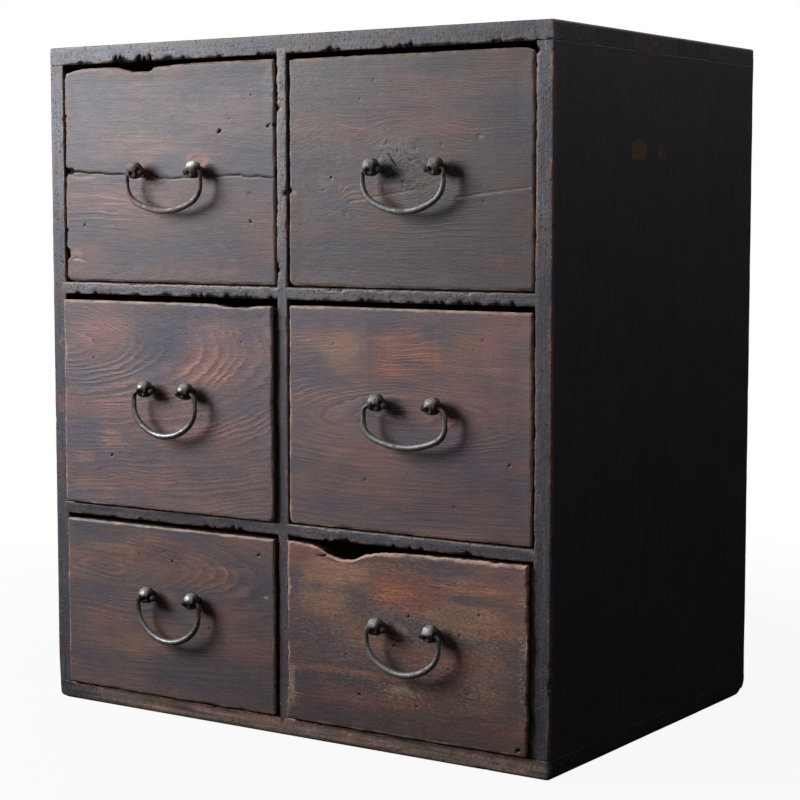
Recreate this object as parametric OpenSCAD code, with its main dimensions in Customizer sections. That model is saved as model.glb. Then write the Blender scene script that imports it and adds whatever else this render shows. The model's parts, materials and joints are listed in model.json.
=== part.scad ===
// Small tansu chest: a board case with two columns of three drawers, each with an iron bail handle.
// The origin is the middle of the case's underside; +Z is up and the drawer fronts face -Y.

/* [Case] */
// Width of the case
case_w = 396; // [340:1:460]
// Depth of the case from front to back
case_d = 276; // [240:1:320]
// Height of the case
case_h = 450; // [420:1:520]
// Thickness of the top board
top_t = 12; // [10:0.5:16]
// Thickness of the bottom board
bottom_t = 12; // [10:0.5:16]
// Thickness of the side boards
side_t = 12; // [10:0.5:16]
// Thickness of the upright between the two columns
divider_t = 8; // [7:0.5:12]
// Thickness of the shelves
shelf_t = 8; // [7:0.5:12]
// Thickness of the back boards
back_t = 8; // [6:0.5:12]
// Height of the upper shelf's underside
upper_shelf_z = 283; // [265:1:300]
// Height of the lower shelf's underside
lower_shelf_z = 131; // [118:1:145]
// Height of the seam between the two back boards
back_seam_z = 228; // [150:1:300]
// Radius of the bottom board's worn plan corners
bottom_corner_r = 5; // [1:0.5:8]
// Radius of the lower rear corners, seen from the side
rear_foot_r = 12; // [4:0.5:16]
// Radius of the lower front edge, seen from the side
front_foot_r = 2; // [1:0.5:5]
// Radius of the lower left corner, seen from the front
left_foot_r = 8; // [2:0.5:12]
// Radius of the lower right corner, seen from the front
right_foot_r = 3; // [2:0.5:12]

/* [Case joints] */
// Width of each corner finger from the front; a fifth finger takes what is left
finger_w = [50, 48, 62, 45]; // [30:1:58]
// How deep the shelves sit in the side boards
side_groove = 4; // [2:0.5:6]
// How deep the shelves sit in each face of the upright
divider_groove = 2.5; // [1:0.25:3]
// How deep the upright sits in the top and bottom boards
divider_housing = 4; // [2:0.5:6]
// How far the grooves stop behind the front edge
groove_stop = 10; // [5:1:30]
// How far the back boards sit into the case boards
back_rabbet = 6; // [5:0.5:8]
// Radius of the nails' shanks
nail_r = 1; // [0.8:0.1:1.3]
// Radius of the nails' heads
nail_head_r = 2.2; // [1.6:0.1:2.8]
// Thickness of the nails' heads
nail_head_t = 0.8; // [0.5:0.1:1.5]
// Length of the nails
nail_l = 24; // [16:1:30]
// Number of nails along each upright edge of a back board
nails_up = 3; // [2:1:4]
// Number of nails along the top and the bottom edge of the back
nails_across = 5; // [3:1:8]

/* [Drawers] */
// Thickness of the drawer fronts
front_t = 12; // [10:0.5:16]
// Thickness of the drawer sides
drawer_side_t = 8; // [7:0.5:10]
// Thickness of the drawer backs
drawer_back_t = 8; // [7:0.5:10]
// Thickness of the drawer bottoms
drawer_bottom_t = 6; // [5:0.5:8]
// Depth of the rabbets in a front that take the sides and the bottom
front_rabbet = 6; // [5:0.5:7]
// Play at each side of a drawer
side_play = 1; // [0.5:0.1:2]
// Running clearance under a drawer
floor_play = 0.3; // [0.2:0.05:0.5]
// Height of a front's lower edge above the floor of its compartment
front_lift = 0.6; // [0.5:0.1:1.5]
// Gap above the left fronts, from the top row down
top_gap_left = [2.5, 3.5, 2.3]; // [1:0.1:6]
// Gap above the right fronts, from the top row down
top_gap_right = [3, 3, 1]; // [1:0.1:6]
// How far the left fronts stand out of the case, from the top row down
proud_left = [0, 4, 3]; // [-1:0.5:8]
// How far the right fronts stand out of the case, from the top row down
proud_right = [-1, 0, 3.5]; // [-1:0.5:8]
// Gap behind a drawer whose front is flush with the case
back_gap = 2; // [1.5:0.5:10]
// How far a drawer's sides stay below the upper edge of its front
side_drop = 3; // [1:0.5:10]
// Radius of the fronts' corners
front_corner_r = 2.5; // [1:0.5:4]
// Radius of the wooden pegs
peg_r = 1.3; // [1:0.1:1.6]
// Length of the wooden pegs
peg_l = 18; // [14:1:22]
// Number of pegs in each corner of a drawer
pegs_per_corner = 3; // [2:1:5]
// Number of pegs that hold a drawer's bottom to each side
pegs_per_edge = 4; // [2:1:6]
// Distance of the outermost pegs from the ends of what they hold
peg_margin = 16; // [8:1:30]
// Clearance around pegs, nails and shanks in their holes
hole_play = 0.05; // [0.02:0.01:0.1]

/* [Handles] */
// Height of the eyes above the compartment's floor, from the top row down
eye_height = [73.5, 81, 69]; // [60:0.5:90]
// Distance between the two eyes of the left handles, from the top row down
eye_spread_left = [50.5, 35, 39]; // [30:0.5:60]
// Distance between the two eyes of the right handles, from the top row down
eye_spread_right = [47, 41.5, 40.5]; // [30:0.5:60]
// How far the left handles sit right of the drawer's middle, from the top row down
handle_shift_left = [3.8, 6.2, 7]; // [-10:0.1:10]
// How far the right handles sit right of the drawer's middle, from the top row down
handle_shift_right = [1.8, 3.4, 4.6]; // [-10:0.1:10]
// Widest distance between the wire's middles on the left bails, from the top row down
bail_w_left = [62.5, 52, 52]; // [50:0.5:75]
// Widest distance between the wire's middles on the right bails, from the top row down
bail_w_right = [58.8, 60, 53]; // [50:0.5:75]
// Height of the left bails from the eye to the wire's middle, from the top row down
bail_drop_left = [25, 29, 28]; // [22:0.5:34]
// Height of the right bails from the eye to the wire's middle, from the top row down
bail_drop_right = [25.5, 25, 26.5]; // [22:0.5:34]
// How much the radius of a bail's lower corners falls short of its depth
corner_shortfall = 4; // [3:0.5:8]
// Straight stretch of a bail's legs, between the shoulder and the lower corner
leg_drop = 5; // [2:0.5:10]
// Radius of the bails' wire in the eyes
wire_r = 1.4; // [1.2:0.05:1.6]
// How much the wire's radius grows at each bend towards the bail's middle
wire_swell = 0.15; // [0.06:0.01:0.2]
// How far each stretch of a bail's wire runs on inside the next, thicker one
wire_lap = 0.3; // [0.2:0.05:0.4]
// Radius of the knob at each end of a bail
knob_r = 2.1; // [1.9:0.1:2.6]
// Distance from a front to the axis on which its bail swings
eye_reach = 8; // [7:0.5:12]
// Radius of the ball-shaped heads
head_r = 5.4; // [5:0.1:6.5]
// Half width of the heads between their flat flanks
head_half = 3.6; // [3:0.1:4]
// How far a head's middle lies above the wire in its eye
head_rise = 1.5; // [0:0.1:2]
// Radius of the dished mouth of an eye
eye_mouth_r = 2.9; // [2.2:0.1:3.4]
// Depth of the dished mouth of an eye
eye_mouth_t = 1.3; // [0.5:0.1:2]
// Radius of the shank through the front
shank_r = 2.4; // [2:0.1:3]
// Length of each leg that is bent flat behind the front
leg_l = 13; // [8:0.5:15]
// Thickness of the legs
leg_t = 1.6; // [1:0.1:2.5]
// Length of the point at the end of a leg
leg_point = 5; // [2:0.5:8]
// Radial clearance of the wire in an eye
eye_play = 0.1; // [0.05:0.01:0.1]
// Side clearance between a bail and the flanks of its heads
flank_play = 0.4; // [0.3:0.1:0.6]

/* [Wear] */
// Worn dips in the top left front's upper edge: distance from its left end, length, depth
top_left_dips = [[68, 46, 4.2]];
// Worn dips in the middle left front's upper edge
middle_left_dips = [[156, 50, 2.4]];
// Worn dips in the bottom right front's upper edge
bottom_right_dips = [[22, 44, 2.6], [43, 56, 7.4]];

/* [Hidden] */
COLUMNS = ["left", "right"];
ROWS = ["top", "middle", "bottom"];
CASE_NODES = [
    "top_board", "bottom_board", "left_side_board", "right_side_board",
    "back_upper_board", "back_lower_board", "centre_upright",
    "upper_left_shelf", "upper_right_shelf", "lower_left_shelf", "lower_right_shelf", "back_nails"
];
DRAWER_NODES = [
    "drawer_front", "drawer_left_side", "drawer_right_side", "drawer_back",
    "drawer_bottom", "drawer_pegs", "handle_posts", "handle_bail"
];
$fn = 48;

// The two columns and three rows of compartments
inner_w = case_w - 2 * side_t;
cell_w = (inner_w - divider_t) / 2;
cell_x = [-inner_w / 2, divider_t / 2];
floors = [upper_shelf_z + shelf_t, lower_shelf_z + shelf_t, bottom_t];
ceilings = [case_h - top_t, upper_shelf_z, lower_shelf_z];
case_front = -case_d / 2;
case_back = case_d / 2;
inner_back = case_back - back_t;

// Values by row and column
top_gap = [top_gap_left, top_gap_right];
proud = [proud_left, proud_right];
eye_spread = [eye_spread_left, eye_spread_right];
handle_shift = [handle_shift_left, handle_shift_right];
bail_w = [bail_w_left, bail_w_right];
bail_drop = [bail_drop_left, bail_drop_right];
no_dips = [];
dips = [[top_left_dips, middle_left_dips, no_dips], [no_dips, no_dips, bottom_right_dips]];

// Faces of a drawer
drawer_w = cell_w - 2 * side_play;
drawer_l = case_d - back_t - back_gap;
function drawer_x(col) = cell_x[col] + side_play;
function face_y(row, col) = case_front - proud[col][row];
function end_y(row, col) = face_y(row, col) + drawer_l;
function under_z(row) = floors[row] + floor_play;
function inside_z(row) = under_z(row) + drawer_bottom_t;
function front_z(row) = floors[row] + front_lift;
function front_top(row, col) = ceilings[row] - top_gap[col][row];
function side_top(row, col) = front_top(row, col) - side_drop;
function handle_x(row, col) = cell_x[col] + cell_w / 2 + handle_shift[col][row];
function handle_z(row) = floors[row] + eye_height[row];

// Where each corner finger ends, measured from the front
function total(list, last) = last < 0 ? 0 : list[last] + total(list, last - 1);
finger_ends = [for (i = [0 : len(finger_w) - 1]) total(finger_w, i)];

// Place number i of count places spread evenly between lo and hi
function spread(lo, hi, count, i) = lo + (hi - lo) * i / (count - 1);

module box_between(lo, hi) translate(lo) cube(hi - lo);

// A cylinder that starts at a point and runs along X, Y or Z
module rod_x(p, r, l) translate(p) rotate([0, 90, 0]) cylinder(r = r, h = l);
module rod_y(p, r, l) translate(p) rotate([-90, 0, 0]) cylinder(r = r, h = l);
module rod_z(p, r, l) translate(p) cylinder(r = r, h = l);

// The stretches that belong to the side boards' fingers, over a range of heights and both ends
module side_fingers(z0, z1) {
    for (x = [-case_w / 2, case_w / 2 - side_t], i = [0, 2])
        box_between(
            [x, case_front + finger_ends[i], z0],
            [x + side_t, case_front + finger_ends[i + 1], z1]
        );
}

// A rectangle from one corner to another, whose lower corners are worn round
module footed_outline(x0, x1, h, left_r, right_r) {
    translate([x0 + left_r, 0]) square([x1 - x0 - left_r - right_r, h]);
    translate([x0, left_r]) square([left_r, h - left_r]);
    translate([x1 - right_r, right_r]) square([right_r, h - right_r]);
    translate([x0 + left_r, left_r]) circle(r = left_r);
    translate([x1 - right_r, right_r]) circle(r = right_r);
}

// The case's outer shape with its worn feet
module footed_case() intersection() {
    translate([-case_w / 2, 0, 0]) rotate([90, 0, 90])
        linear_extrude(case_w) footed_outline(case_front, case_back, case_h, front_foot_r, rear_foot_r);
    translate([0, case_back, 0]) rotate([90, 0, 0])
        linear_extrude(case_d) footed_outline(-case_w / 2, case_w / 2, case_h, left_foot_r, right_foot_r);
}

// The room that the back boards take
module back_room() {
    box_between(
        [-inner_w / 2 - back_rabbet, inner_back, bottom_t - back_rabbet],
        [inner_w / 2 + back_rabbet, case_back, case_h - top_t + back_rabbet]
    );
}

// The nails of the back, or their holes when play is given
module nail(x, z, play) {
    rod_y([x, case_back - nail_l, z], nail_r + play, nail_l);
    rod_y([x, case_back - nail_head_t, z], nail_head_r + play, nail_head_t);
}

module nails(play = 0) {
    edge_x = inner_w / 2 + back_rabbet / 2;
    low = bottom_t - back_rabbet / 2;
    high = case_h - top_t + back_rabbet / 2;
    for (side = [-1, 1], i = [0 : nails_up - 1]) {
        nail(side * edge_x, spread(bottom_t + peg_margin, back_seam_z - peg_margin, nails_up, i), play);
        nail(side * edge_x, spread(back_seam_z + peg_margin, case_h - top_t - peg_margin, nails_up, i), play);
    }
    for (z = [low, high], i = [0 : nails_across - 1])
        nail(spread(peg_margin - inner_w / 2, inner_w / 2 - peg_margin, nails_across, i), z, play);
}

// The upright, with the housings in the top and bottom boards that hold it
module upright_body() {
    box_between(
        [-divider_t / 2, case_front, bottom_t],
        [divider_t / 2, inner_back, case_h - top_t]
    );
    box_between(
        [-divider_t / 2, case_front + groove_stop, bottom_t - divider_housing],
        [divider_t / 2, inner_back, case_h - top_t + divider_housing]
    );
}

// A shelf with its tongues; left and right tongues differ, because one side is the upright
module shelf_body(col, z) {
    left_tongue = col == 0 ? side_groove : divider_groove;
    right_tongue = col == 0 ? divider_groove : side_groove;
    box_between([cell_x[col], case_front, z], [cell_x[col] + cell_w, inner_back, z + shelf_t]);
    box_between(
        [cell_x[col] - left_tongue, case_front + groove_stop, z],
        [cell_x[col] + cell_w + right_tongue, inner_back, z + shelf_t]
    );
}

module shelves() {
    for (col = [0, 1], z = [upper_shelf_z, lower_shelf_z]) shelf_body(col, z);
}

module shelf(col, z) color("#3b3a3e") difference() {
    shelf_body(col, z);
    nails(hole_play);
}

module top_board() color("#3a3c44") difference() {
    box_between([-case_w / 2, case_front, case_h - top_t], [case_w / 2, case_back, case_h]);
    side_fingers(case_h - top_t, case_h);
    back_room();
    upright_body();
    nails(hole_play);
}

module bottom_board() color("#4a3a30") difference() {
    intersection() {
        footed_case();
        linear_extrude(bottom_t) rounded_plan(case_w, case_d, bottom_corner_r);
    }
    side_fingers(0, bottom_t);
    back_room();
    upright_body();
    nails(hole_play);
}

// A rectangle centred on the origin with four round corners
module rounded_plan(w, d, r) {
    square([w - 2 * r, d], center = true);
    square([w, d - 2 * r], center = true);
    for (x = [-1, 1], y = [-1, 1]) translate([x * (w / 2 - r), y * (d / 2 - r)]) circle(r = r);
}

module side_board(x) difference() {
    intersection() {
        footed_case();
        box_between([x, case_front, 0], [x + side_t, case_back, case_h]);
        union() {
            box_between([x, case_front, bottom_t], [x + side_t, case_back, case_h - top_t]);
            side_fingers(0, case_h);
        }
    }
    back_room();
    shelves();
    nails(hole_play);
}

module left_side_board() color("#33353d") side_board(-case_w / 2);
module right_side_board() color("#26262b") side_board(case_w / 2 - side_t);

module back_board(z0, z1) color("#3b2f28") difference() {
    intersection() {
        footed_case();
        back_room();
        box_between([-case_w / 2, inner_back, z0], [case_w / 2, case_back, z1]);
    }
    nails(hole_play);
}

module back_upper_board() back_board(back_seam_z, case_h);
module back_lower_board() back_board(0, back_seam_z);

module centre_upright() color("#32343b") difference() {
    upright_body();
    shelves();
    nails(hole_play);
}

module upper_left_shelf() shelf(0, upper_shelf_z);
module upper_right_shelf() shelf(1, upper_shelf_z);
module lower_left_shelf() shelf(0, lower_shelf_z);
module lower_right_shelf() shelf(1, lower_shelf_z);

module back_nails() color("#2a2523") nails();

// The outline of a front in its own plane: rounded corners, and the worn dips cut out of its upper edge
module front_outline(w, h, worn) difference() {
    translate([w / 2, h / 2]) rounded_plan(w, h, front_corner_r);
    for (dip = worn) {
        dip_r = (dip[1] * dip[1] / 4 + dip[2] * dip[2]) / (2 * dip[2]);
        translate([dip[0], h - dip[2] + dip_r]) circle(r = dip_r);
    }
}

module drawer_front(row, col) color("#5b4036") {
    w = drawer_w;
    h = front_top(row, col) - front_z(row);
    x = drawer_x(col);
    y = face_y(row, col);
    difference() {
        translate([x, y + front_t, front_z(row)]) rotate([90, 0, 0])
            linear_extrude(front_t) front_outline(w, h, dips[col][row]);
        for (side_x = [x, x + w - drawer_side_t])
            box_between(
                [side_x, y + front_t - front_rabbet, front_z(row)],
                [side_x + drawer_side_t, y + front_t, front_top(row, col)]
            );
        box_between(
            [x, y + front_t - front_rabbet, front_z(row)],
            [x + w, y + front_t, inside_z(row)]
        );
        for (side = [-1, 1])
            rod_y([eye_x(row, col, side), y, shank_z(row)], shank_r + hole_play, front_t);
        pegs(row, col, hole_play);
    }
}

module drawer_side(row, col, right) color("#77604a") difference() {
    x = drawer_x(col) + right * (drawer_w - drawer_side_t);
    box_between(
        [x, face_y(row, col) + front_t - front_rabbet, inside_z(row)],
        [x + drawer_side_t, end_y(row, col), side_top(row, col)]
    );
    pegs(row, col, hole_play);
}

module drawer_back(row, col) color("#77604a") difference() {
    box_between(
        [drawer_x(col) + drawer_side_t, end_y(row, col) - drawer_back_t, inside_z(row)],
        [drawer_x(col) + drawer_w - drawer_side_t, end_y(row, col), side_top(row, col)]
    );
    pegs(row, col, hole_play);
}

module drawer_bottom(row, col) color("#7d6850") difference() {
    box_between(
        [drawer_x(col), face_y(row, col) + front_t - front_rabbet, under_z(row)],
        [drawer_x(col) + drawer_w, end_y(row, col), inside_z(row)]
    );
    pegs(row, col, hole_play);
}

// The pegs of a drawer, or their holes when play is given: through each side into the front and
// the back, and up through the bottom into the sides
module pegs(row, col, play = 0) {
    r = peg_r + play;
    x0 = drawer_x(col);
    x1 = x0 + drawer_w;
    y0 = face_y(row, col) + front_t - front_rabbet / 2;
    y1 = end_y(row, col) - drawer_back_t / 2;
    for (y = [y0, y1], i = [0 : pegs_per_corner - 1]) {
        z = spread(inside_z(row) + peg_margin, side_top(row, col) - peg_margin, pegs_per_corner, i);
        rod_x([x0, y, z], r, peg_l);
        rod_x([x1 - peg_l, y, z], r, peg_l);
    }
    for (x = [x0 + drawer_side_t / 2, x1 - drawer_side_t / 2], i = [0 : pegs_per_edge - 1])
        rod_z([x, spread(y0 + peg_margin, y1 - peg_margin, pegs_per_edge, i), under_z(row)], r, peg_l);
}

module drawer_pegs(row, col) color("#8a7358") pegs(row, col);

function eye_x(row, col, side) = handle_x(row, col) + side * eye_spread[col][row] / 2;
function shank_z(row) = handle_z(row) + head_rise;

// One forged post around its eye: a ball head with flat flanks, a shank and two legs bent flat
module post() {
    legs_y = eye_reach + front_t;
    // The shank begins inside the ball, behind the dished mouths of the eye
    shank_y = eye_mouth_r + eye_play;
    difference() {
        intersection() {
            translate([0, 0, head_rise]) sphere(r = head_r);
            box_between([-head_half, -head_r, head_rise - head_r], [head_half, head_r, head_rise + head_r]);
        }
        rod_x([-head_half, 0, 0], wire_r + eye_play, 2 * head_half);
        for (side = [0, 1]) mirror([side, 0, 0]) translate([head_half - eye_mouth_t, 0, 0])
            rotate([0, 90, 0]) cylinder(r1 = wire_r + eye_play, r2 = eye_mouth_r, h = eye_mouth_t);
    }
    rod_y([0, shank_y, head_rise], shank_r, legs_y - shank_y);
    translate([0, legs_y + leg_t, head_rise]) rotate([90, 0, 0]) linear_extrude(leg_t)
        polygon([
            [-leg_l, 0], [leg_point - leg_l, -shank_r], [leg_l - leg_point, -shank_r],
            [leg_l, 0], [leg_l - leg_point, shank_r], [leg_point - leg_l, shank_r]
        ]);
}

module handle_posts(row, col) color("#35332f") {
    for (side = [-1, 1])
        translate([eye_x(row, col, side), face_y(row, col) - eye_reach, handle_z(row)]) post();
}

function lap_angle(r) = wire_lap / r * 180 / PI;

// An arc of wire in the XZ plane around the origin, from one angle to another
module bend(r, from, to, swells) rotate([90, 0, 0]) rotate([0, 0, from])
    rotate_extrude(angle = to - from) translate([r, 0]) circle(r = wire_r + swells * wire_swell);

// A bail: two straight ends in the eyes, and on each side a shoulder, a straight leg and a lower
// corner that run into one wide arc below
module handle_bail(row, col) color("#2f2d2a") {
    half_w = bail_w[col][row] / 2;
    drop = bail_drop[col][row];
    flank = eye_spread[col][row] / 2;
    shoulder_x = flank + head_half + flank_play;
    shoulder_r = half_w - shoulder_x;
    corner_z = -shoulder_r - leg_drop;
    depth = drop + corner_z;
    corner_r = depth - corner_shortfall;
    corner_x = half_w - corner_r;
    arc_r = (corner_x * corner_x + depth * depth - corner_r * corner_r) / (2 * corner_shortfall);
    turn = atan2(depth - arc_r, corner_x);
    knob_x = flank - head_half - flank_play - knob_r;
    translate([handle_x(row, col), face_y(row, col) - eye_reach, handle_z(row)]) {
        for (side = [0, 1]) mirror([side, 0, 0]) {
            rod_x([knob_x, 0, 0], wire_r, shoulder_x + wire_lap - knob_x);
            translate([knob_x, 0, 0]) sphere(r = knob_r);
            translate([shoulder_x, 0, -shoulder_r]) bend(shoulder_r, -lap_angle(shoulder_r), 90, 1);
            rod_z([half_w, 0, corner_z - wire_lap], wire_r + 2 * wire_swell, leg_drop + wire_lap);
            translate([corner_x, 0, corner_z]) bend(corner_r, turn - lap_angle(corner_r), 0, 3);
        }
        translate([0, 0, arc_r - drop]) bend(arc_r, -180 - turn, turn, 4);
    }
}

top_board();
bottom_board();
left_side_board();
right_side_board();
back_upper_board();
back_lower_board();
centre_upright();
upper_left_shelf();
upper_right_shelf();
lower_left_shelf();
lower_right_shelf();
back_nails();
for (row = [0 : 2], col = [0, 1]) {
    name = str(ROWS[row], "_", COLUMNS[col], "_");
    drawer_front(row, col);
    drawer_side(row, col, 0);
    drawer_side(row, col, 1);
    drawer_back(row, col);
    drawer_bottom(row, col);
    drawer_pegs(row, col);
    handle_posts(row, col);
    handle_bail(row, col);
}
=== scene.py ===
"""Dresses a small six-drawer tansu chest: the rubbed lacquer case with its finger joints, the six stained
fronts with their raised grain and worn edges, and the forged bail handles. Sizes in the tables are millimetres,
in the frame whose origin is the middle of the case's underside, with the fronts facing -Y and +Z up."""

import itertools
import json
import math

import bpy
import numpy as np
from bpy.props import FloatProperty, FloatVectorProperty, IntProperty, PointerProperty
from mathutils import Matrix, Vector


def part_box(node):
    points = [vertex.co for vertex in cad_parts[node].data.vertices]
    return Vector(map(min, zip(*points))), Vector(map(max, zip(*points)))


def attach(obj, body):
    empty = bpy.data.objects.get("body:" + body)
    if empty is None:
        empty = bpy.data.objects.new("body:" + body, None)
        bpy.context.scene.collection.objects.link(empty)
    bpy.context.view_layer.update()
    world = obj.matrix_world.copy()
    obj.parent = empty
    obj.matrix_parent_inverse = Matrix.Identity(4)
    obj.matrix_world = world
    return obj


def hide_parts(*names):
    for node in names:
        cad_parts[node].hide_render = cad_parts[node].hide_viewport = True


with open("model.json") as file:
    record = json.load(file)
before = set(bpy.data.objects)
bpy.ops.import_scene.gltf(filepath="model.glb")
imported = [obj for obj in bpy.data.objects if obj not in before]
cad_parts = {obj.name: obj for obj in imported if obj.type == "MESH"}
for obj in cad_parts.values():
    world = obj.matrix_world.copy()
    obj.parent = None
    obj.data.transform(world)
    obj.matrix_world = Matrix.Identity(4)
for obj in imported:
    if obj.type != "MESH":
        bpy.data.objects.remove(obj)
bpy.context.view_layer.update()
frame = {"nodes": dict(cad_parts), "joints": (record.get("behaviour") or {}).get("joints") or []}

bl_info = {
    "name": "Worn tansu chest",
    "version": (1, 0, 0),
    "blender": (4, 5, 0),
    "location": "3D View > Sidebar > Tansu",
    "description": "Worn boards, grained drawer fronts and forged handles for a small tansu chest",
    "category": "Object",
}

MM = 0.001
DRAWERS = [f"{row}_{column}" for row in ("top", "middle", "bottom") for column in ("left", "right")]

# Bites along the front edges of the case boards, as (place along the edge, length, depth), on the lower or left
# half of the edge ("low") and on the other ("high"). "ragged" is the depth of the small chewing on each half.
CHEWED = {
    "top_board": {
        "ragged": (1.1, 0.25),
        "low": [(-122, 44, 5.2), (-13, 12, 3.4), (38, 9, 3.6), (96, 30, 2.2), (150, 40, 2)],
    },
    "bottom_board": {"ragged": (0.3, 0.6), "low": [(155, 18, 1.6)], "high": [(-60, 40, 1.2), (20, 30, 1.4)]},
    "upper_left_shelf": {
        "ragged": (1.0, 0.6),
        "low": [(-45, 64, 2.6), (-100, 22, 1.7), (-150, 26, 1.8)],
        "high": [(-120, 30, 1.4)],
    },
    "upper_right_shelf": {
        "ragged": (1.1, 0.6),
        "low": [(140, 90, 2.6), (60, 30, 2.0)],
        "high": [(40, 20, 1.2)],
    },
    "lower_left_shelf": {"ragged": (0.8, 0.5), "low": [(-48, 66, 2.3), (-120, 20, 1.5)]},
    "lower_right_shelf": {
        "ragged": (1.0, 0.6),
        "low": [(100, 40, 1.8), (50, 24, 2.2)],
        "high": [(150, 30, 1.2)],
    },
    "centre_upright": {
        "ragged": (0.5, 0.5),
        "low": [(412, 30, 1.6), (300, 16, 1.6)],
        "high": [(352, 12, 2.2), (240, 20, 1.2)],
    },
    "left_side_board": {"ragged": (0.3, 0.4), "high": [(404, 14, 1.4), (250, 10, 1.2)]},
    "right_side_board": {
        "ragged": (0.5, 0.5),
        "low": [(430, 20, 1.4)],
        "high": [(365, 9, 2.4), (185, 20, 1.6), (60, 24, 1.4)],
    },
}

# How much lighter or darker than the rest a board is painted along its length, as (place, share): painted light
# and shade, such as the side boards lighter towards the top, partly the lacquer's own change
STAIN_AND_PAINTED_LIGHT = {
    "top_board": ((-90, 1.0), (-35, 0.74), (50, 0.8), (130, 1.0), (198, 1.08)),
    "left_side_board": ((0, 0.8), (140, 0.92), (280, 1.0), (400, 1.28), (450, 1.28)),
    "right_side_board": ((0, 0.92), (200, 1.08), (320, 1.1), (420, 1.42), (450, 1.42)),
    "centre_upright": ((330, 1.0), (425, 0.82)),
    "upper_right_shelf": ((0, 1.0), (190, 0.84)),
    "lower_left_shelf": ((-190, 0.6), (-60, 0.78), (0, 1.0)),
    "bottom_board": ((-60, 1.0), (20, 1.2), (198, 1.28)),
}
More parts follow.
